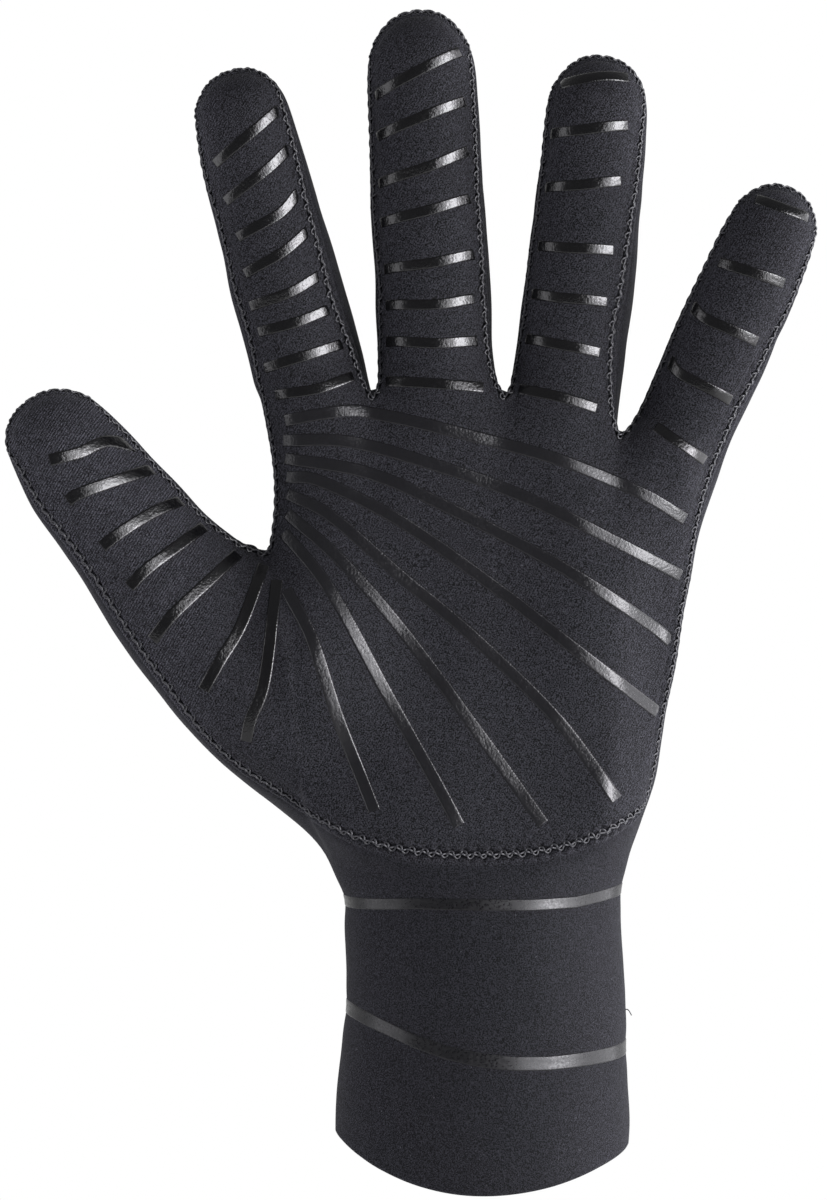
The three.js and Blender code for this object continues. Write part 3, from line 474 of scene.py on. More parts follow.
def edge_table(quads, count):
    """The mesh's edges, and for each quad's four sides which edge they are."""
    sides = np.stack([quads, np.roll(quads, -1, axis=1)], axis=-1).reshape(-1, 2)
    low = sides.min(axis=1).astype(np.int64)
    keys = low * count + sides.max(axis=1)
    unique, inverse, used = np.unique(keys, return_inverse=True, return_counts=True)
    return np.stack([unique // count, unique % count], axis=1), inverse.ravel(), used


def subdivide(points, quads, panels):
    """One smooth subdivision: each quad becomes four and the surface rounds between its points."""
    count = len(points)
    edges, inverse, used = edge_table(quads, count)
    centres = points[quads].mean(axis=1)
    middles = points[edges].mean(axis=1)
    beside = np.zeros_like(middles)
    np.add.at(beside, inverse, np.repeat(centres, 4, axis=0))
    free = used == 1
    edge_points = (2 * middles + beside) / 4
    edge_points[free] = middles[free]
    valence = np.bincount(quads.ravel(), minlength=count)[:, None]
    around = np.zeros_like(points)
    np.add.at(around, quads.ravel(), np.repeat(centres, 4, axis=0))
    spokes = np.zeros_like(points)
    np.add.at(spokes, edges[:, 0], middles)
    np.add.at(spokes, edges[:, 1], middles)
    spoke_count = np.bincount(edges.ravel(), minlength=count)[:, None]
    moved = (around / valence + 2 * spokes / spoke_count + (valence - 3) * points) / valence
    rim = np.zeros_like(points)
    np.add.at(rim, edges[free][:, 0], points[edges[free][:, 1]])
    np.add.at(rim, edges[free][:, 1], points[edges[free][:, 0]])
    at_rim = np.unique(edges[free])
    moved[at_rim] = 0.75 * points[at_rim] + 0.125 * rim[at_rim]
    edge_index = count + inverse.reshape(-1, 4)
    face_index = count + len(edges) + np.arange(len(quads))
    children = []
    for i in range(4):
        children.append(np.stack([quads[:, i], edge_index[:, i], face_index, edge_index[:, i - 1]], axis=1))
    new_quads = np.stack(children, axis=1).reshape(-1, 4)
    return np.concatenate([moved, edge_points, centres]), new_quads, np.repeat(panels, 4)


def point_normals(points, quads):
    a, b, c, d = (points[quads[:, i]] for i in range(4))
    face = np.cross(c - a, d - b)
    normals = np.zeros_like(points)
    for i in range(4):
        np.add.at(normals, quads[:, i], face)
    return normals / np.linalg.norm(normals, axis=1, keepdims=True)


points = np.array(cage_points, dtype=float)
quads = np.array(cage_quads)
panels = np.array(cage_panels)
# The cage is swollen a little first, so that the rounded surface still runs through the tables' points. Each
# pass makes up this share of what is missing.
SWELL_PASSES = 5
SWELL_SHARE = 0.8
wanted = points.copy()
for _ in range(SWELL_PASSES):
    finer, fine_quads, fine_panels = points, quads, panels
    for _ in range(2):
        finer, fine_quads, fine_panels = subdivide(finer, fine_quads, fine_panels)
    points = points + SWELL_SHARE * (wanted - finer[: len(points)])

for _ in range(2):
    points, quads, panels = subdivide(points, quads, panels)
inner_points = points
inner_quads = quads
inner_panels = panels
points, quads, panels = subdivide(points, quads, panels)
smooth_normals = point_normals(points, quads)

# The seam is where the two panels' quads meet.
edges, inverse, used = edge_table(quads, len(points))
panel_sum = np.zeros(len(edges), dtype=int)
np.add.at(panel_sum, inverse, np.repeat(panels, 4))
seam_edges = edges[(used == 2) & (panel_sum == PALM + BACK)]
hem_edges = edges[used == 1]


def chain(pairs):
    """A closed run of points from its edges."""
    beside = {}
    for a, b in pairs:
        beside.setdefault(int(a), []).append(int(b))
        beside.setdefault(int(b), []).append(int(a))
    start = int(pairs[0][0])
    run = [start]
    last = None
    here = start
    while True:
        options = [p for p in beside[here] if p != last]
        last, here = here, options[0]
        if here == start:
            return run
        run.append(here)


seam_run = chain(seam_edges)
hem_points = set(hem_edges.ravel().tolist())


def nearest(places, line):
    """Distance in millimetres from each place to a closed line, through a tree of its points."""
    tree = KDTree(len(line))
    for i, p in enumerate(line):
        tree.insert(Vector(p), i)
    tree.balance()
    return np.array([tree.find(Vector(p))[2] for p in places])


seam_line = []
for a, b in zip(seam_run, seam_run[1:] + seam_run[:1]):
    for t in (0, 0.25, 0.5, 0.75):
        seam_line.append(mix(points[a], points[b], t))
seam_away = nearest(points, seam_line)

# Folds of the cloth: x and z of both ends, depth and half width. A finger's cloth folds a little where its
# joints bend, and at the web of the thumb. A fold wanders from its straight line and fades at its ends.
FOLD_WANDER = 0.8
FOLD_FADE = 6
FOLDS = [
    (-57, 208, -38, 212, 0.35, 2.6),
    (-52, 189, -32, 193, 0.45, 3.0),
    (-24, 217, -1, 216, 0.35, 2.8),
    (-23, 195, 2, 194, 0.45, 3.2),
    (12, 209, 33, 211, 0.35, 2.6),
    (9, 188, 31, 187, 0.45, 3.0),
    (52, 190, 66, 183, 0.3, 2.4),
    (43, 173, 58, 166, 0.4, 2.8),
    (-79, 150, -66, 139, 0.35, 3.0),
    (-47, 136, -40, 116, 0.9, 3.4),
    (-44, 118, -40, 96, 0.5, 4.0),
    (-30, 71, 28, 70, 0.4, 4.0),
]


def fold_depth(places, line):
    x1, z1, x2, z2, depth, half = line
    along = np.array((x2 - x1, z2 - z1))
    length = np.linalg.norm(along)
    along = along / length
    offset = places[:, [0, 2]] - (x1, z1)
    run = offset @ along
    aside = offset @ np.array((-along[1], along[0])) + FOLD_WANDER * np.sin(run * 0.35 + x1)
    over = np.clip(np.minimum(run, length - run) / FOLD_FADE + 0.5, 0, 1)
    return depth * over * np.exp(-(aside / half) ** 2)


lift = np.zeros(len(points))
in_front = points[:, 1] < -3
for line in FOLDS:
    lift[in_front] -= fold_depth(points[in_front], line)
# Soft waves of the stretched foam cloth
WAVE_HEIGHT = 0.28
LONG_WAVE = 17
SHORT_WAVE = 7.5
waves = [noise.noise(Vector(p) / LONG_WAVE) + 0.5 * noise.noise(Vector(p) / SHORT_WAVE) for p in points]
lift += WAVE_HEIGHT * np.array(waves)
# The cuff bands' lines in front, as x and z. Each draws the cuff in along a soft groove.
BAND_FRONT = {
    "upper": [(-31, 60.1), (-18, 61.2), (-3, 61.2), (12, 61.0), (23, 61.2), (31, 62.7)],
    "lower": [
        (-31, 36.8), (-18, 31.9), (-10, 29.7), (-1, 28.2), (7, 27.4), (16, 27.2), (25, 27.6), (32, 27.9),
    ],
}
BAND_GROOVES = {"upper": 0.45, "lower": 0.3}
GROOVE_REACH = 3.2


def band_height(name, x, y):
    table = BAND_FRONT[name]
    front = np.interp(x, [p[0] for p in table], [p[1] for p in table])
    back = np.interp(x, [table[0][0], table[-1][0]], [table[0][1], table[-1][1]])
    return mix(front, back, np.clip(y / 20 + 0.5, 0, 1))


low = points[:, 2] < 80
for name, groove in BAND_GROOVES.items():
    from_band = points[low, 2] - band_height(name, points[low, 0], points[low, 1])
    lift[low] -= groove * np.exp(-(from_band / GROOVE_REACH) ** 2)
# At its left side the cuff gathers into two soft rolls, over and under the upper band.
left_side = np.clip((-20 - points[:, 0]) / 8, 0, 1) * (points[:, 2] < 90)
upper_roll = 0.8 * np.exp(-((points[:, 2] - 66.5) / 5) ** 2)
lower_roll = 0.35 * np.exp(-((points[:, 2] - 55) / 6) ** 2)
lift += left_side * (upper_roll + lower_roll)
# The seam pulls the cloth down over 4 mm. The seam's lips stand on that surface; under them the panels sink
# further, and a low ridge stands beside them.
lift -= 0.3 * np.exp(-(seam_away / 4) ** 2)
bare_surface = points + smooth_normals * lift[:, None]
bare_tree = BVHTree.FromPolygons(bare_surface.tolist(), [tuple(q) for q in quads.tolist()])
lift -= 0.75 * np.exp(-(seam_away / 1.3) ** 2)
lift += 0.12 * np.exp(-((seam_away - 3.2) / 1.2) ** 2)
surface = points + smooth_normals * lift[:, None]


def srgb(text):
    """A colour written as sRGB hex, turned linear."""
    values = [int(text[i: i + 2], 16) / 255 for i in (1, 3, 5)]
    linear = [v / 12.92 if v <= 0.04045 else ((v + 0.055) / 1.055) ** 2.4 for v in values]
    return (*linear, 1.0)


def fill(tree, node, inputs):
    """Sets a node's inputs, or links them where a socket is given."""
    for key, value in inputs.items():
        if isinstance(value, bpy.types.NodeSocket):
            tree.links.new(value, node.inputs[key])
        else:
            node.inputs[key].default_value = value


def add_node(tree, kind, settings=None, inputs=None):
    """Adds a shader node, sets its properties and fills its inputs."""
    node = tree.nodes.new("ShaderNode" + kind)
    for key, value in (settings or {}).items():
        setattr(node, key, value)
    fill(tree, node, inputs or {})
    return node


def new_material(name):
    material = bpy.data.materials.new(name)
    material.use_nodes = True
    tree = material.node_tree
    tree.nodes.clear()
    shader = add_node(tree, "BsdfPrincipled")
    add_node(tree, "OutputMaterial", None, {0: shader.outputs[0]})
    return material, tree, shader


def make_object(name, vertices, faces, material):
    """A smooth-shaded mesh object; vertices are in millimetres."""
    mesh = bpy.data.meshes.new(name)
    faces = [tuple(int(i) for i in face) for face in faces]
    mesh.from_pydata((np.asarray(vertices) / 1000).tolist(), [], faces)
    mesh.polygons.foreach_set("use_smooth", np.ones(len(mesh.polygons), dtype=bool))
    mesh.materials.append(material)
    mesh.update()
    made = bpy.data.objects.new(name, mesh)
    bpy.context.scene.collection.objects.link(made)
    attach(made, "root")
    return made


# Knit-faced foam rubber: matte charcoal nylon jersey. Its loops are drawn 0.3 mm across, a little coarser
# than real, so that they show as a fine grain, with faint ribs 0.6 mm apart and here and there a paler
# filament that catches the light. The ribs stand out where the thumb stretches the cloth.
def knit_cloth(name, dark, pale, rib_tone):
    material, tree, shader = new_material(name)
    place = add_node(tree, "TexCoord").outputs["Object"]
    loops = add_node(tree, "TexNoise", None, {
        "Vector": place, "Scale": 3600.0, "Detail": 1.0, "Roughness": 0.7,
    })
    grain = add_node(tree, "MapRange", {"interpolation_type": "SMOOTHSTEP"}, {
        "Value": loops.outputs[0], "From Min": 0.36, "From Max": 0.68,
    })
    tint = add_node(tree, "Mix", {"data_type": "RGBA"}, {
        "Factor": grain.outputs[0], 6: srgb(dark), 7: srgb(pale),
    })
    flecks = add_node(tree, "TexNoise", None, {
        "Vector": place, "Scale": 1500.0, "Detail": 3.0, "Roughness": 0.8,
    })
    fleck_mask = add_node(tree, "MapRange", None, {
        "Value": flecks.outputs[0], "From Min": 0.66, "From Max": 0.8,
    })
    flecked = add_node(tree, "Mix", {"data_type": "RGBA"}, {
        "Factor": fleck_mask.outputs[0], 6: tint.outputs[2], 7: srgb("#5c5c62"),
    })
    patches = add_node(tree, "TexNoise", None, {"Vector": place, "Scale": 45.0, "Detail": 3.0})
    shade = add_node(tree, "MapRange", None, {
        "Value": patches.outputs[0], "From Min": 0.3, "From Max": 0.7, "To Min": 0.96, "To Max": 1.04,
    })
    toned = add_node(tree, "VectorMath", {"operation": "SCALE"}, {
        0: flecked.outputs[2], "Scale": shade.outputs[0],
    })
    turned = add_node(tree, "Mapping", None, {"Vector": place, "Rotation": (0.0, -0.52, 0.0)})
    ribs = add_node(tree, "TexWave", {"wave_type": "BANDS", "bands_direction": "X"}, {
        "Vector": turned.outputs[0], "Scale": 560.0, "Distortion": 1.2, "Detail": 2.0, "Detail Scale": 4.0,
    })
    along = add_node(tree, "SeparateXYZ", None, {0: place}).outputs[0]
    on_thumb = add_node(tree, "MapRange", {"interpolation_type": "SMOOTHSTEP"}, {
        "Value": along, "From Min": -0.052, "From Max": -0.07, "To Min": 0.25, "To Max": 1.0,
    })
    rib_depth = add_node(tree, "Math", {"operation": "MULTIPLY"}, {
        0: on_thumb.outputs[0], 1: rib_tone,
    })
    rib_shade = add_node(tree, "Math", {"operation": "MULTIPLY_ADD"}, {
        0: ribs.outputs[1], 1: rib_depth.outputs[0], 2: 1.0,
    })
    ribbed = add_node(tree, "VectorMath", {"operation": "SCALE"}, {
        0: toned.outputs[0], "Scale": rib_shade.outputs[0],
    })
    relief = add_node(tree, "Math", {"operation": "MULTIPLY_ADD"}, {
        0: ribs.outputs[1], 1: rib_depth.outputs[0], 2: loops.outputs[0],
    })
    bump = add_node(tree, "Bump", None, {
        "Strength": 0.6, "Distance": 0.00012, "Height": relief.outputs[0],
    })
    fill(tree, shader, {
        "Base Color": ribbed.outputs[0], "Normal": bump.outputs[0], "Roughness": 0.8, "IOR": 1.5,
        "Specular IOR Level": 0.06, "Sheen Weight": 0.03, "Sheen Roughness": 0.4,
    })
    return material


palm_cloth = knit_cloth("palm_knit_cloth", "#050506", "#2c2c31", 1.6)
back_cloth = knit_cloth("back_knit_cloth", "#0a0a0c", "#26262b", 0.3)

inner_normals = point_normals(inner_points, inner_quads)
inner_surface = inner_points - inner_normals * WALL
# The hem's cut edge is rounded: steps round it, and how far it bulges down
HEM_STEPS = 5
HEM_BULGE = 0.75


def panel_mesh(panel):
    """The panel's outer face, the same face one wall further in, and the cut edges between them."""
    vertices = []
    faces = []

    def add_faces(places, corners):
        kept = np.unique(corners)
        renumber = np.zeros(len(places), dtype=int)
        renumber[kept] = np.arange(len(kept)) + len(vertices)
        vertices.extend(places[kept])
        faces.extend(renumber[corners])
        return renumber

    outer = quads[panels == panel]
    outer_index = add_faces(surface, outer)
    add_faces(inner_surface, inner_quads[inner_panels == panel][:, ::-1])
    _, where, uses = edge_table(outer, len(surface))
    directed = np.stack([outer, np.roll(outer, -1, axis=1)], axis=-1).reshape(-1, 2)
    on_edge = directed[uses[where] == 1]
    lip = {}
    for a, b in on_edge:
        at_hem = int(a) in hem_points and int(b) in hem_points
        for i in (int(a), int(b)):
            if (i, at_hem) in lip:
                continue
            run = [outer_index[i]]
            steps = HEM_STEPS if at_hem else 1
            for step in range(1, steps + 1):
                turn = math.pi * step / steps
                inward = WALL / 2 * (1 - math.cos(turn)) if at_hem else WALL
                spot = surface[i] - smooth_normals[i] * inward
                if at_hem:
                    spot = spot + np.array((0, 0, -HEM_BULGE * math.sin(turn)))
                vertices.append(spot)
                run.append(len(vertices) - 1)
            lip[(i, at_hem)] = run
        first = lip[(int(a), at_hem)]
        second = lip[(int(b), at_hem)]
        for j in range(len(first) - 1):
            faces.append((second[j], first[j], first[j + 1], second[j + 1]))
    return vertices, faces


palm_panel = make_object("palm_panel_cloth", *panel_mesh(PALM), palm_cloth)
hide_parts("palm_panel")

# Back panel: the other piece of foam cloth. It is folded round the sides of the fingers, covers the back
# of the hand and goes on as the cuff in one piece. The hem is a plain cut edge.
back_panel = make_object("back_panel_cloth", *panel_mesh(BACK), back_cloth)
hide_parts("back_panel")

# Grip stripes: silicone printed on the cloth in flat lines 2.3 mm wide on the fingers, 2.6 mm on the thumb
# and 2.7 mm on the palm, with square ends and sharp edges. They are glossy and dark, and the weave still
# shows through.
GRIP_WIDTH = {"index": 2.3, "middle": 2.3, "ring": 2.3, "pinky": 2.3, "thumb": 2.6, "palm": 2.7}
GRIP_THICK = 0.14
GRIPS = {
    "index": [
        (-58.3, 220.7, -49.5, 227.6, -44.3, 232.5),
        (-56.1, 212.7, -47.3, 219.0, -42.2, 224.2),
        (-53.5, 205.0, -44.5, 209.9, -40.0, 215.1),
        (-52.0, 197.2, -43.6, 201.7, -37.6, 207.2),
        (-50.9, 190.2, -41.9, 193.1, -34.8, 197.6),
        (-49.1, 184.6, -40.8, 186.6, -32.6, 190.2),
        (-47.8, 176.8, -38.5, 179.5, -30.6, 182.4),
        (-45.4, 170.9, -36.1, 172.2, -28.5, 175.2),
    ],
    "middle": [
        (-23.7, 235.7, -13.9, 240.5, -5.2, 244.9),
        (-23.2, 227.0, -12.8, 230.8, -4.1, 234.4),
        (-23.0, 217.0, -11.7, 220.1, -3.4, 223.8),
        (-22.4, 208.5, -11.7, 210.8, -3.0, 213.7),
        (-21.7, 198.5, -11.3, 199.4, -2.1, 201.6),
        (-21.3, 190.7, -10.4, 190.5, -2.1, 192.0),
        (-21.3, 182.9, -10.4, 182.1, -1.3, 182.9),
        (-21.5, 174.1, -10.4, 173.3, 0.0, 172.6),
    ],
    "ring": [
        (16.6, 238.0, 24.9, 239.3, 31.2, 239.4),
        (13.6, 227.5, 20.6, 227.6, 31.0, 228.8),
        (12.8, 216.1, 20.6, 216.0, 29.6, 217.0),
        (11.9, 203.5, 18.5, 202.6, 28.1, 202.2),
        (10.4, 193.3, 16.3, 192.0, 26.8, 191.1),
        (9.3, 183.5, 16.3, 181.9, 25.3, 180.2),
        (7.8, 172.4, 16.3, 170.5, 24.6, 168.1),
    ],
    "pinky": [
        (58.8, 213.0, 64.8, 210.6, 70.1, 209.0),
        (51.0, 199.6, 55.1, 197.9, 64.9, 194.8),
        (45.3, 190.7, 48.6, 187.1, 59.4, 182.4),
        (40.5, 179.0, 43.2, 175.4, 54.0, 169.8),
        (37.5, 164.2, 42.2, 160.8, 48.4, 156.7),
    ],
    "thumb": [
        (-93.0, 156.1, -86.6, 157.9, -81.2, 160.5, -75.0, 159.6),
        (-89.2, 147.4, -86.6, 149.1, -78.0, 152.4, -71.6, 154.9),
        (-82.0, 137.7, -78.0, 140.8, -71.6, 145.1, -65.2, 148.3),
        (-76.2, 129.1, -72.2, 133.1, -65.2, 138.7, -60.9, 142.3),
        (-71.3, 117.7, -66.9, 123.1, -58.8, 131.0, -53.6, 136.4),
        (-60.3, 107.0, -56.6, 113.5, -52.4, 120.9, -47.9, 134.0),
        (-51.3, 95.9, -50.2, 100.6, -47.2, 109.2, -44.9, 130.6),
    ],
    "palm": [
        (-43.3, 165.3, -30.0, 167.4, -23.5, 166.8, -9.6, 163.6, 14.0, 157.4, 33.3, 149.9, 44.0, 143.9),
        (-43.7, 161.0, -28.9, 160.6, -11.8, 155.9, 7.5, 149.2, 29.0, 138.7, 43.2, 131.6),
        (-43.3, 157.1, -24.6, 153.7, -5.3, 145.1, 16.1, 133.8, 35.4, 121.6, 41.0, 117.3),
        (-43.0, 153.1, -35.3, 152.0, -18.2, 143.4, 3.3, 128.4, 20.4, 115.1, 38.2, 101.7),
        (-42.8, 149.4, -33.2, 144.5, -18.2, 131.6, -1.0, 117.1, 16.1, 100.1, 28.6, 83.2),
        (-42.8, 145.1, -31.0, 134.9, -18.2, 120.3, -1.0, 97.3, 12.6, 78.2),
        (-43.6, 141.0, -33.2, 128.4, -20.3, 104.8, -9.6, 85.6, -5.5, 77.9),
        (-42.8, 128.6, -37.0, 117.7, -31.0, 99.5, -23.7, 81.0),
    ],
}


def silicone(name, colour, roughness, weave, shine):
    """Glossy dark silicone; weave is how deep the cloth's loops show through it, in metres.

    The loops under it are drawn 0.5 mm across, coarser than real, so that they break up the shine.
    """
    material, tree, shader = new_material(name)
    place = add_node(tree, "TexCoord").outputs["Object"]
    loops = add_node(tree, "TexNoise", None, {
        "Vector": place, "Scale": 1900.0, "Detail": 2.0, "Roughness": 0.55,
    })
    slow = add_node(tree, "TexNoise", None, {"Vector": place, "Scale": 160.0, "Detail": 2.0})
    relief = add_node(tree, "Math", {"operation": "MULTIPLY_ADD"}, {
        0: slow.outputs[0], 1: 1.5, 2: loops.outputs[0],
    })
    bump = add_node(tree, "Bump", None, {
        "Strength": 0.6, "Distance": weave, "Height": relief.outputs[0],
    })
    worn = add_node(tree, "MapRange", None, {
        "Value": loops.outputs[0], "From Min": 0.35, "From Max": 0.7,
        "To Min": roughness * 0.8, "To Max": roughness * 1.6,
    })
    fill(tree, shader, {
        "Base Color": srgb(colour), "Normal": bump.outputs[0], "Roughness": worn.outputs[0], "IOR": 1.43,
        "Specular IOR Level": shine,
    })
    return material


grip_silicone = silicone("printed_grip_silicone", "#0b0b0c", 0.15, 0.00014, 0.42)
palm_silicone = silicone("printed_palm_grip_silicone", "#18181a", 0.17, 0.00013, 0.33)
skin_tree = BVHTree.FromPolygons(surface.tolist(), [tuple(q) for q in quads.tolist()])


def spline(cells, step):
    """Points every step along a smooth curve through the table's points."""
    knots = np.array(cells).reshape(-1, 2)
    ends = np.vstack([2 * knots[0] - knots[1], knots, 2 * knots[-1] - knots[-2]])
    fine = []
    for i in range(len(knots) - 1):
        p0, p1, p2, p3 = ends[i: i + 4]
        for t in np.linspace(0, 1, 24, endpoint=False):
            fine.append(0.5 * (2 * p1 + (p2 - p0) * t + (2 * p0 - 5 * p1 + 4 * p2 - p3) * t ** 2
                               + (3 * p1 - p0 - 3 * p2 + p3) * t ** 3))
    fine.append(knots[-1])
    fine = np.array(fine)
    run = np.concatenate([[0], np.cumsum(np.linalg.norm(np.diff(fine, axis=0), axis=1))])
    wanted_runs = np.linspace(0, run[-1], max(int(run[-1] / step), 4) + 1)
    return np.stack([np.interp(wanted_runs, run, fine[:, i]) for i in (0, 1)], axis=1)


def on_front(x, z):
    """The cloth's place and outward direction seen from the front at x and z."""
    hit, normal, _, _ = skin_tree.ray_cast(Vector((x, -90, z)), Vector((0, 1, 0)))
    if hit is None:
        hit, normal, _, _ = skin_tree.find_nearest(Vector((x, -12, z)))
    if normal.y > 0:
        normal = -normal
    return np.array(hit), np.array(normal)


# The print's edge sinks between the cloth's ribs, which makes beads along it
BEAD_PITCH = 0.65
BEAD_SHARE = 0.985
BEAD_RISE = 0.55
# Across half a stripe: share of the half width, and share of the thickness
HALF_STRIPE = [(-1.0, -0.5), (-BEAD_SHARE, 0.25), (-0.76, 0.92), (-0.68, 1.0), (-0.3, 1.0)]
STRIPE_PROFILE = [*HALF_STRIPE, (0.0, 1.0), *((-share, rise) for share, rise in HALF_STRIPE[::-1])]
# The thickness again at a stripe's end, 0.03 and 0.1 mm in, and from there on
END_RISES = (-0.5, 0.7, 1.0)
END_STEPS = (0.03, 0.1)


def strip_faces(rows, columns, closed, tubular=False, flipped=False):
    """Quads between neighbouring rows of points. Closed joins the last row to the first, tubular joins each
    row's ends, and flipped quads run the other way round."""
    faces = []
    for i in range(rows if closed else rows - 1):
        here = i * columns
        after = (i + 1) % rows * columns
        for j in range(columns if tubular else columns - 1):
            k = (j + 1) % columns
            quad = (here + j, after + j, after + k, here + k)
            faces.append((quad[0], *quad[:0:-1]) if flipped else quad)
    return faces


def stripe_mesh(cells, width):
    line = spline(cells, BEAD_PITCH / 4)
    first = unit(line[1] - line[0])
    last = unit(line[-1] - line[-2])
    near, far = END_STEPS
    line = np.vstack([line[:1], line[:1] + near * first, line[:1] + far * first, line[1:-1],
                      line[-1:] - far * last, line[-1:] - near * last, line[-1:]])
    along = np.gradient(line, axis=0)
    along /= np.linalg.norm(along, axis=1, keepdims=True)
    vertices = []
    for i, (spot, way) in enumerate(zip(line, along)):
        end = min(i, len(line) - 1 - i)
        bead = 0.5 + 0.5 * math.sin(math.pi * i / 2 + 2 * noise.noise(Vector((i * 0.11, cells[0], cells[1]))))
        for share, rise in STRIPE_PROFILE:
            x = spot[0] - way[1] * share * width / 2
            z = spot[1] + way[0] * share * width / 2
            hit, normal = on_front(x, z)
            sunk = rise + BEAD_RISE * bead * (abs(share) == BEAD_SHARE)
            height = GRIP_THICK * min(sunk, END_RISES[min(end, 2)])
            vertices.append(hit + normal * height)
    return vertices, strip_faces(len(line), len(STRIPE_PROFILE), False)


for part, rows in GRIPS.items():
    material = palm_silicone if part == "palm" else grip_silicone
    for i, cells in enumerate(rows):
        stripe = make_object(f"{part}_grip_{i + 1}_silicone", *stripe_mesh(cells, GRIP_WIDTH[part]), material)
        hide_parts(f"{part}_grip_{i + 1}")

# Cuff bands: the same silicone in two smooth bands round the cuff, 2.5 and 3.1 mm wide. The print is even
# here, so they shine more smoothly than the stripes.
band_silicone = silicone("smooth_band_silicone", "#101012", 0.3, 0.00002, 0.3)
BAND_WIDTH = {"upper": 2.5, "lower": 3.1}
BAND_STEPS = 220
HALF_BAND = [(-1.0, -0.5), (-0.98, 0.25), (-0.85, 0.92), (-0.8, 1.0), (-0.4, 1.0)]
BAND_PROFILE = [*HALF_BAND, (0.0, 1.0), *((-share, rise) for share, rise in HALF_BAND[::-1])]


def band_mesh(name):
    vertices = []
    for i in range(BAND_STEPS):
        turn = 2 * math.pi * i / BAND_STEPS
        way = Vector((math.cos(turn), math.sin(turn), 0))
        height = float(band_height(name, 31 * way.x, 25 * way.y))
        for share, rise in BAND_PROFILE:
            z = height + share * BAND_WIDTH[name] / 2
            hit, normal, _, _ = skin_tree.ray_cast(Vector((way.x * 80, way.y * 80, z)), -way)
            if normal.dot(way) < 0:
                normal = -normal
            vertices.append(np.array(hit) + np.array(normal) * GRIP_THICK * rise)
    return vertices, strip_faces(BAND_STEPS, len(BAND_PROFILE), True)


for name in ("upper", "lower"):
    band = make_object(f"cuff_band_{name}_silicone", *band_mesh(name), band_silicone)
    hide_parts(f"cuff_band_{name}")

# Seam: the panels' cut edges are butted and drawn together by a zigzag stitch 2.8 mm long. Between its
# holes, which lie 1 mm from the joint by turns on either side, the foam edges stand up as small pillows.
STITCH = 2.8
HOLE_AWAY = 1.0
HOLE_DEPTH = 0.5
PILLOW_HEIGHT = 0.42
JOINT_DEPTH = 0.55
LIP_COLUMNS = [-2.9, -2.4, -2.0, -1.65, -1.35, -1.1, -0.85, -0.6, -0.32, 0.0]
LIP_COLUMNS += [-c for c in LIP_COLUMNS[-2::-1]]
LIP_STEP = 0.28
seam_points = bare_surface[seam_run]
seam_ups = smooth_normals[seam_run]
closed_points = np.vstack([seam_points, seam_points[:1]])
closed_ups = np.vstack([seam_ups, seam_ups[:1]])
seam_run_length = np.concatenate([[0], np.cumsum(np.linalg.norm(np.diff(closed_points, axis=0), axis=1))])
seam_length = seam_run_length[-1]
stitches = round(seam_length / STITCH)


def seam_at(run):
    """The seam's place, outward direction and sideways direction after a run in millimetres."""
    run = np.asarray(run) % seam_length

    def along(rows, at):
        at = at % seam_length
        return np.stack([np.interp(at, seam_run_length, rows[:, i]) for i in range(3)], axis=-1)

    spot = along(closed_points, run)
    up = along(closed_ups, run - 0.5) + along(closed_ups, run) + along(closed_ups, run + 0.5)
    up /= np.linalg.norm(up, axis=-1, keepdims=True)
    ahead = along(closed_points, run + 0.8) - along(closed_points, run - 0.8)
    side = np.cross(up, ahead)
    side /= np.linalg.norm(side, axis=-1, keepdims=True)
    return spot, up, side


def on_bare(target, up):
    hit, normal, _, _ = bare_tree.find_nearest(Vector(target))
    normal = np.array(normal)
    return np.array(hit), normal if normal @ up > 0 else -normal


def lip_height(away, share):
    """Height of the drawn-up cloth at a distance from the joint; share is how far along the stitch."""
    a = abs(away)
    from_hole = (share - (0 if away > 0 else 0.5) + 0.5) % 1 - 0.5
    puff = 0.25 + 0.75 * abs(math.sin(math.pi * from_hole)) ** 0.8
    height = PILLOW_HEIGHT * math.exp(-((a - 1.3) / 0.62) ** 2) * puff
    height += 0.12 * math.exp(-((a - 3.2) / 1.2) ** 2)
    height -= JOINT_DEPTH * math.exp(-(a / 0.5) ** 2)
    height -= HOLE_DEPTH * math.exp(-((a - HOLE_AWAY) / 0.3) ** 2 - (from_hole * STITCH / 0.33) ** 2)
    return height - 0.14 * max(a - 2.2, 0) / 0.7


lip_rows = round(seam_length / LIP_STEP)
lip_runs = np.arange(lip_rows) * seam_length / lip_rows
spots, ups, sides = seam_at(lip_runs)
lip_vertices = []
for run, spot, up, side in zip(lip_runs, spots, ups, sides):
    share = run / seam_length * stitches
    wander = 0.12 * noise.noise(Vector((run * 0.4, 3, 0)))
    for away in LIP_COLUMNS:
        hit, normal = on_bare(spot + side * (away + wander), up)
        lip_vertices.append(hit + normal * lip_height(away, share))
lip_faces = strip_faces(lip_rows, len(LIP_COLUMNS), True, flipped=True)
seam_lips = make_object("seam_lips_cloth", lip_vertices, lip_faces, palm_cloth)

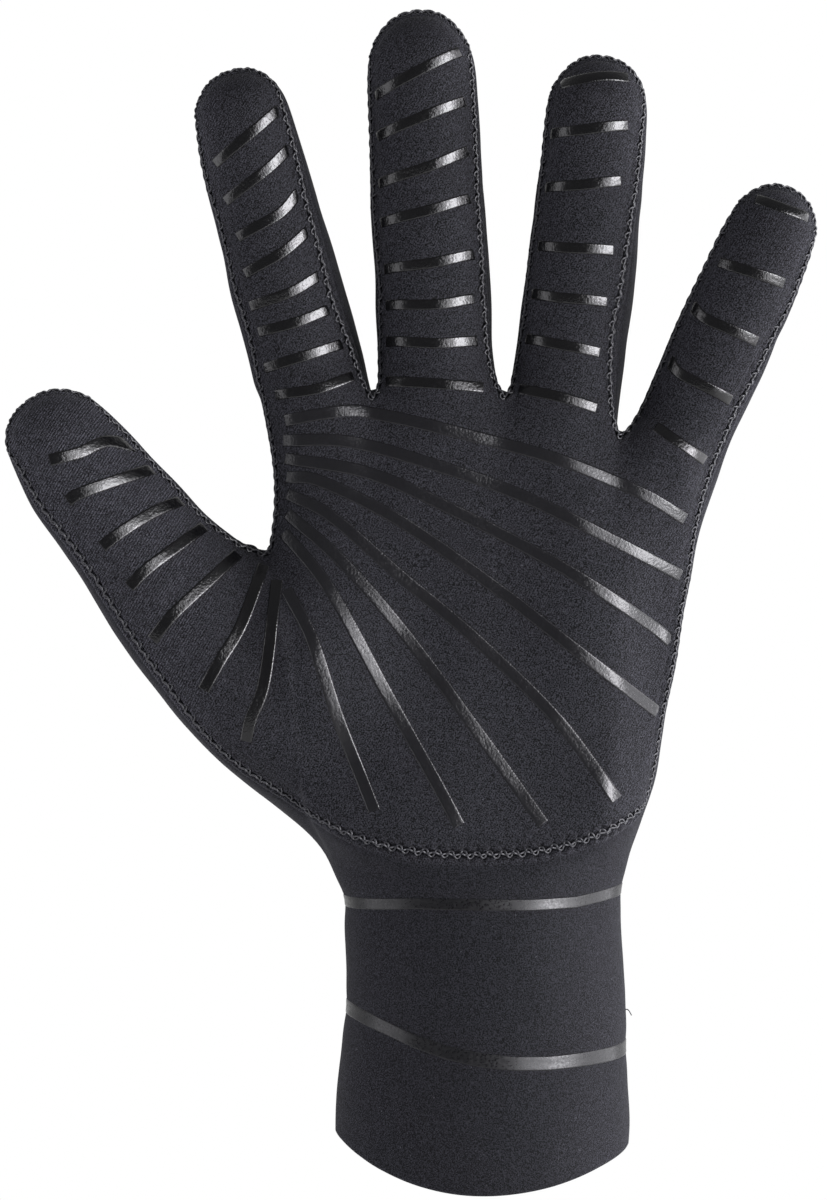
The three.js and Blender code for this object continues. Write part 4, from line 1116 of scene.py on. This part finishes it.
# Seam thread: one black polyester thread zigzags over the joint from hole to hole, a second one runs along
# the joint and weaves through it. Their tension is uneven, and they shine a little on their turns. Their
# twist is drawn 0.4 mm long, coarser than real, so that it shows; its paler grey flecks are painted glints.
THREAD_RADIUS = 0.22
thread_material, tree, shader = new_material("black_polyester_thread")
place = add_node(tree, "TexCoord").outputs["Object"]
twist_and_glint_noise = add_node(tree, "TexNoise", None, {"Vector": place, "Scale": 2600.0, "Detail": 2.0})
# The grey mixed into the black by the twist noise is painted highlight: glints painted on the thread's colour
tint = add_node(tree, "Mix", {"data_type": "RGBA"}, {
    "Factor": twist_and_glint_noise.outputs[0], 6: srgb("#0b0b0d"), 7: srgb("#303036"),
})
thread_bump = add_node(tree, "Bump", None, {
    "Strength": 0.5, "Distance": 0.00008, "Height": twist_and_glint_noise.outputs[0],
})
fill(tree, shader, {
    "Base Color": tint.outputs[2], "Normal": thread_bump.outputs[0], "Roughness": 0.5, "IOR": 1.55,
    "Specular IOR Level": 0.35,
})


def tube(path, radius, closed, around=6):
    """A round tube along a path given as points and a rough upward direction for each."""
    spots = np.array([p for p, _ in path])
    ups = np.array([u for _, u in path])
    if closed:
        ahead = np.roll(spots, -1, axis=0) - np.roll(spots, 1, axis=0)
    else:
        ahead = np.gradient(spots, axis=0)
    ahead /= np.linalg.norm(ahead, axis=1, keepdims=True) + 1e-9
    sides = np.cross(ups, ahead)
    sides /= np.linalg.norm(sides, axis=1, keepdims=True) + 1e-9
    ups = np.cross(ahead, sides)
    lines = []
    for k in range(around):
        turn = 2 * math.pi * k / around
        lines.append(spots + radius * (math.cos(turn) * sides + math.sin(turn) * ups))
    vertices = np.stack(lines, axis=1).reshape(-1, 3)
    return vertices, strip_faces(len(spots), around, closed, tubular=True, flipped=True)


# Points of a thread's path in each stitch
STITCH_POINTS = 14
# Strand: reach to each side in mm, lead along the stitch, how sharply it turns, height in mm
STRANDS = [(0.78, 0.06, 0.6, 0.16), (0.2, 0.31, 1.0, 0.3)]
thread_vertices = []
thread_faces = []
for strand, (reach, lead, sharpness, lift) in enumerate(STRANDS):
    path = []
    shares = np.arange(stitches * STITCH_POINTS) / STITCH_POINTS
    slips = [0.11 * noise.noise(Vector((share * 0.9, 9, strand))) for share in shares]
    spots, ups, sides = seam_at(seam_length / stitches * (shares + slips))
    for share, spot, up, side in zip(shares, spots, ups, sides):
        turn = 2 * math.pi * (share + lead)
        swing = math.copysign(abs(math.cos(turn)) ** sharpness, math.cos(turn))
        pull = 1 + 0.45 * noise.noise(Vector((share * 0.8, 0, strand)))
        wander = 0.12 * noise.noise(Vector((share * 0.3, 7, 0)))
        hit, normal = on_bare(spot + side * (reach * pull * swing + wander), up)
        height = lift + 0.13 * math.sin(turn * (1 + strand)) - 0.24 * abs(swing) ** 3 * (reach > 0.5)
        height += 0.14 * noise.noise(Vector((share * 1.3, 5, strand)))
        path.append((hit + normal * height, up))
    vertices, faces = tube(path, THREAD_RADIUS, True)
    thread_faces.extend(np.array(faces) + len(thread_vertices))
    thread_vertices.extend(vertices)
seam_thread = make_object("seam_thread", thread_vertices, thread_faces, thread_material)

# Loose thread: a stray end of black thread, 3 mm long, stands out of the cloth at the cuff's right side.
loose_start = np.array(skin_tree.ray_cast(Vector((80, -2, 35.6)), Vector((-1, 0, 0)))[0])
loose_path = []
for i in range(10):
    t = i / 9
    spot = loose_start + np.array((1.7 * t - 0.4, -0.2 * t, 0.6 * math.sin(math.pi * t) - 0.9 * t * t))
    loose_path.append((spot, np.array((0.0, 0.0, 1.0))))
loose_thread = make_object("loose_thread", *tube(loose_path, 0.13, False), thread_material)

# Light: a studio with a white surround behind the glove, plain white to the eye, and a dim room on the
# camera's side. A window to the right of the camera, brightest in its middle, shows in the silicone only.
# Two wide soft boxes at the right light the cloth, a weaker one fills in from the left, and a narrow pane
# at the left puts the small gleams on the left ends of the stripes.
world = bpy.data.worlds.new("white_studio")
bpy.context.scene.world = world
world.use_nodes = True
tree = world.node_tree
tree.nodes.clear()
direction = add_node(tree, "TexCoord").outputs["Generated"]
parts = add_node(tree, "SeparateXYZ", None, {0: direction})
depth = add_node(tree, "MapRange", None, {
    "Value": parts.outputs[1], "From Min": -1.0, "From Max": 1.0,
})
ramp = add_node(tree, "ValToRGB", None, {0: depth.outputs[0]})
stops = ramp.color_ramp.elements
stops[0].position = 0.0
stops[0].color = (0.22, 0.22, 0.23, 1)
stops[1].position = 1.0
stops[1].color = (1.0, 1.0, 1.0, 1)
middle_stop = stops.new(0.55)
middle_stop.color = (0.35, 0.35, 0.36, 1)
seen = add_node(tree, "LightPath").outputs["Is Camera Ray"]
colour = add_node(tree, "Mix", {"data_type": "RGBA"}, {
    "Factor": seen, 6: ramp.outputs[0], 7: (1.0, 1.0, 1.0, 1.0),
})
surround = add_node(tree, "Background", None, {"Color": colour.outputs[2], "Strength": 1.0})
add_node(tree, "OutputWorld", None, {0: surround.outputs[0]})

# Metres from the lamps to the glove's middle, and that middle's height
LAMP_AWAY = 0.8
AIM_HEIGHT = 0.13
# Lamp: azimuth and rise in degrees from the camera's side, width and height in metres, radiance, whether it
# lights the cloth, whether it shows in the silicone
LAMPS = {
    "window_near": (43, 4, 0.64, 0.92, 8.4, False, True),
    "window_core": (50, 6, 0.3, 0.5, 24, False, True),
    "window_side": (92, 4, 0.92, 0.86, 4.5, True, True),
    "room_right": (80, 2, 0.9, 0.9, 6.4, True, False),
    "left_fill": (-70, 0, 0.9, 0.75, 3.9, True, False),
    "window_left": (-80, 0, 0.5, 0.9, 2.8, False, True),
}
for name, (azimuth, rise, wide, tall, radiance, on_cloth, in_silicone) in LAMPS.items():
    lamp = bpy.data.lights.new(name, "AREA")
    lamp.shape = "RECTANGLE"
    lamp.size = wide
    lamp.size_y = tall
    lamp.energy = radiance * math.pi * wide * tall
    lamp.color = (0.965, 0.96, 1.0)
    soft_box = bpy.data.objects.new(name, lamp)
    turn = math.radians(azimuth)
    lift = math.radians(rise)
    away = Vector((math.sin(turn) * math.cos(lift), -math.cos(turn) * math.cos(lift), math.sin(lift)))
    soft_box.location = Vector((0, 0, AIM_HEIGHT)) + LAMP_AWAY * away
    soft_box.rotation_euler = (-away).to_track_quat("-Z", "Y").to_euler()
    soft_box.visible_camera = False
    soft_box.visible_diffuse = on_cloth
    soft_box.visible_glossy = in_silicone
    bpy.context.scene.collection.objects.link(soft_box)

# Floor: a plain pale round table top well below the glove, which is held up at its cuff.
FLOOR_Z = -250.0
FLOOR_RADIUS = 900.0
FLOOR_SIDES = 96
floor_material, tree, shader = new_material("pale_table_top")
fill(tree, shader, {"Base Color": srgb("#e4e4e2"), "Roughness": 0.8})
rim = []
for i in range(FLOOR_SIDES):
    turn = 2 * math.pi * i / FLOOR_SIDES
    rim.append((FLOOR_RADIUS * math.cos(turn) / 1000, FLOOR_RADIUS * math.sin(turn) / 1000, FLOOR_Z / 1000))
floor_mesh = bpy.data.meshes.new("floor")
floor_mesh.from_pydata(rim, [], [tuple(range(FLOOR_SIDES))])
floor_mesh.materials.append(floor_material)
floor = bpy.data.objects.new("floor", floor_mesh)
bpy.context.scene.collection.objects.link(floor)
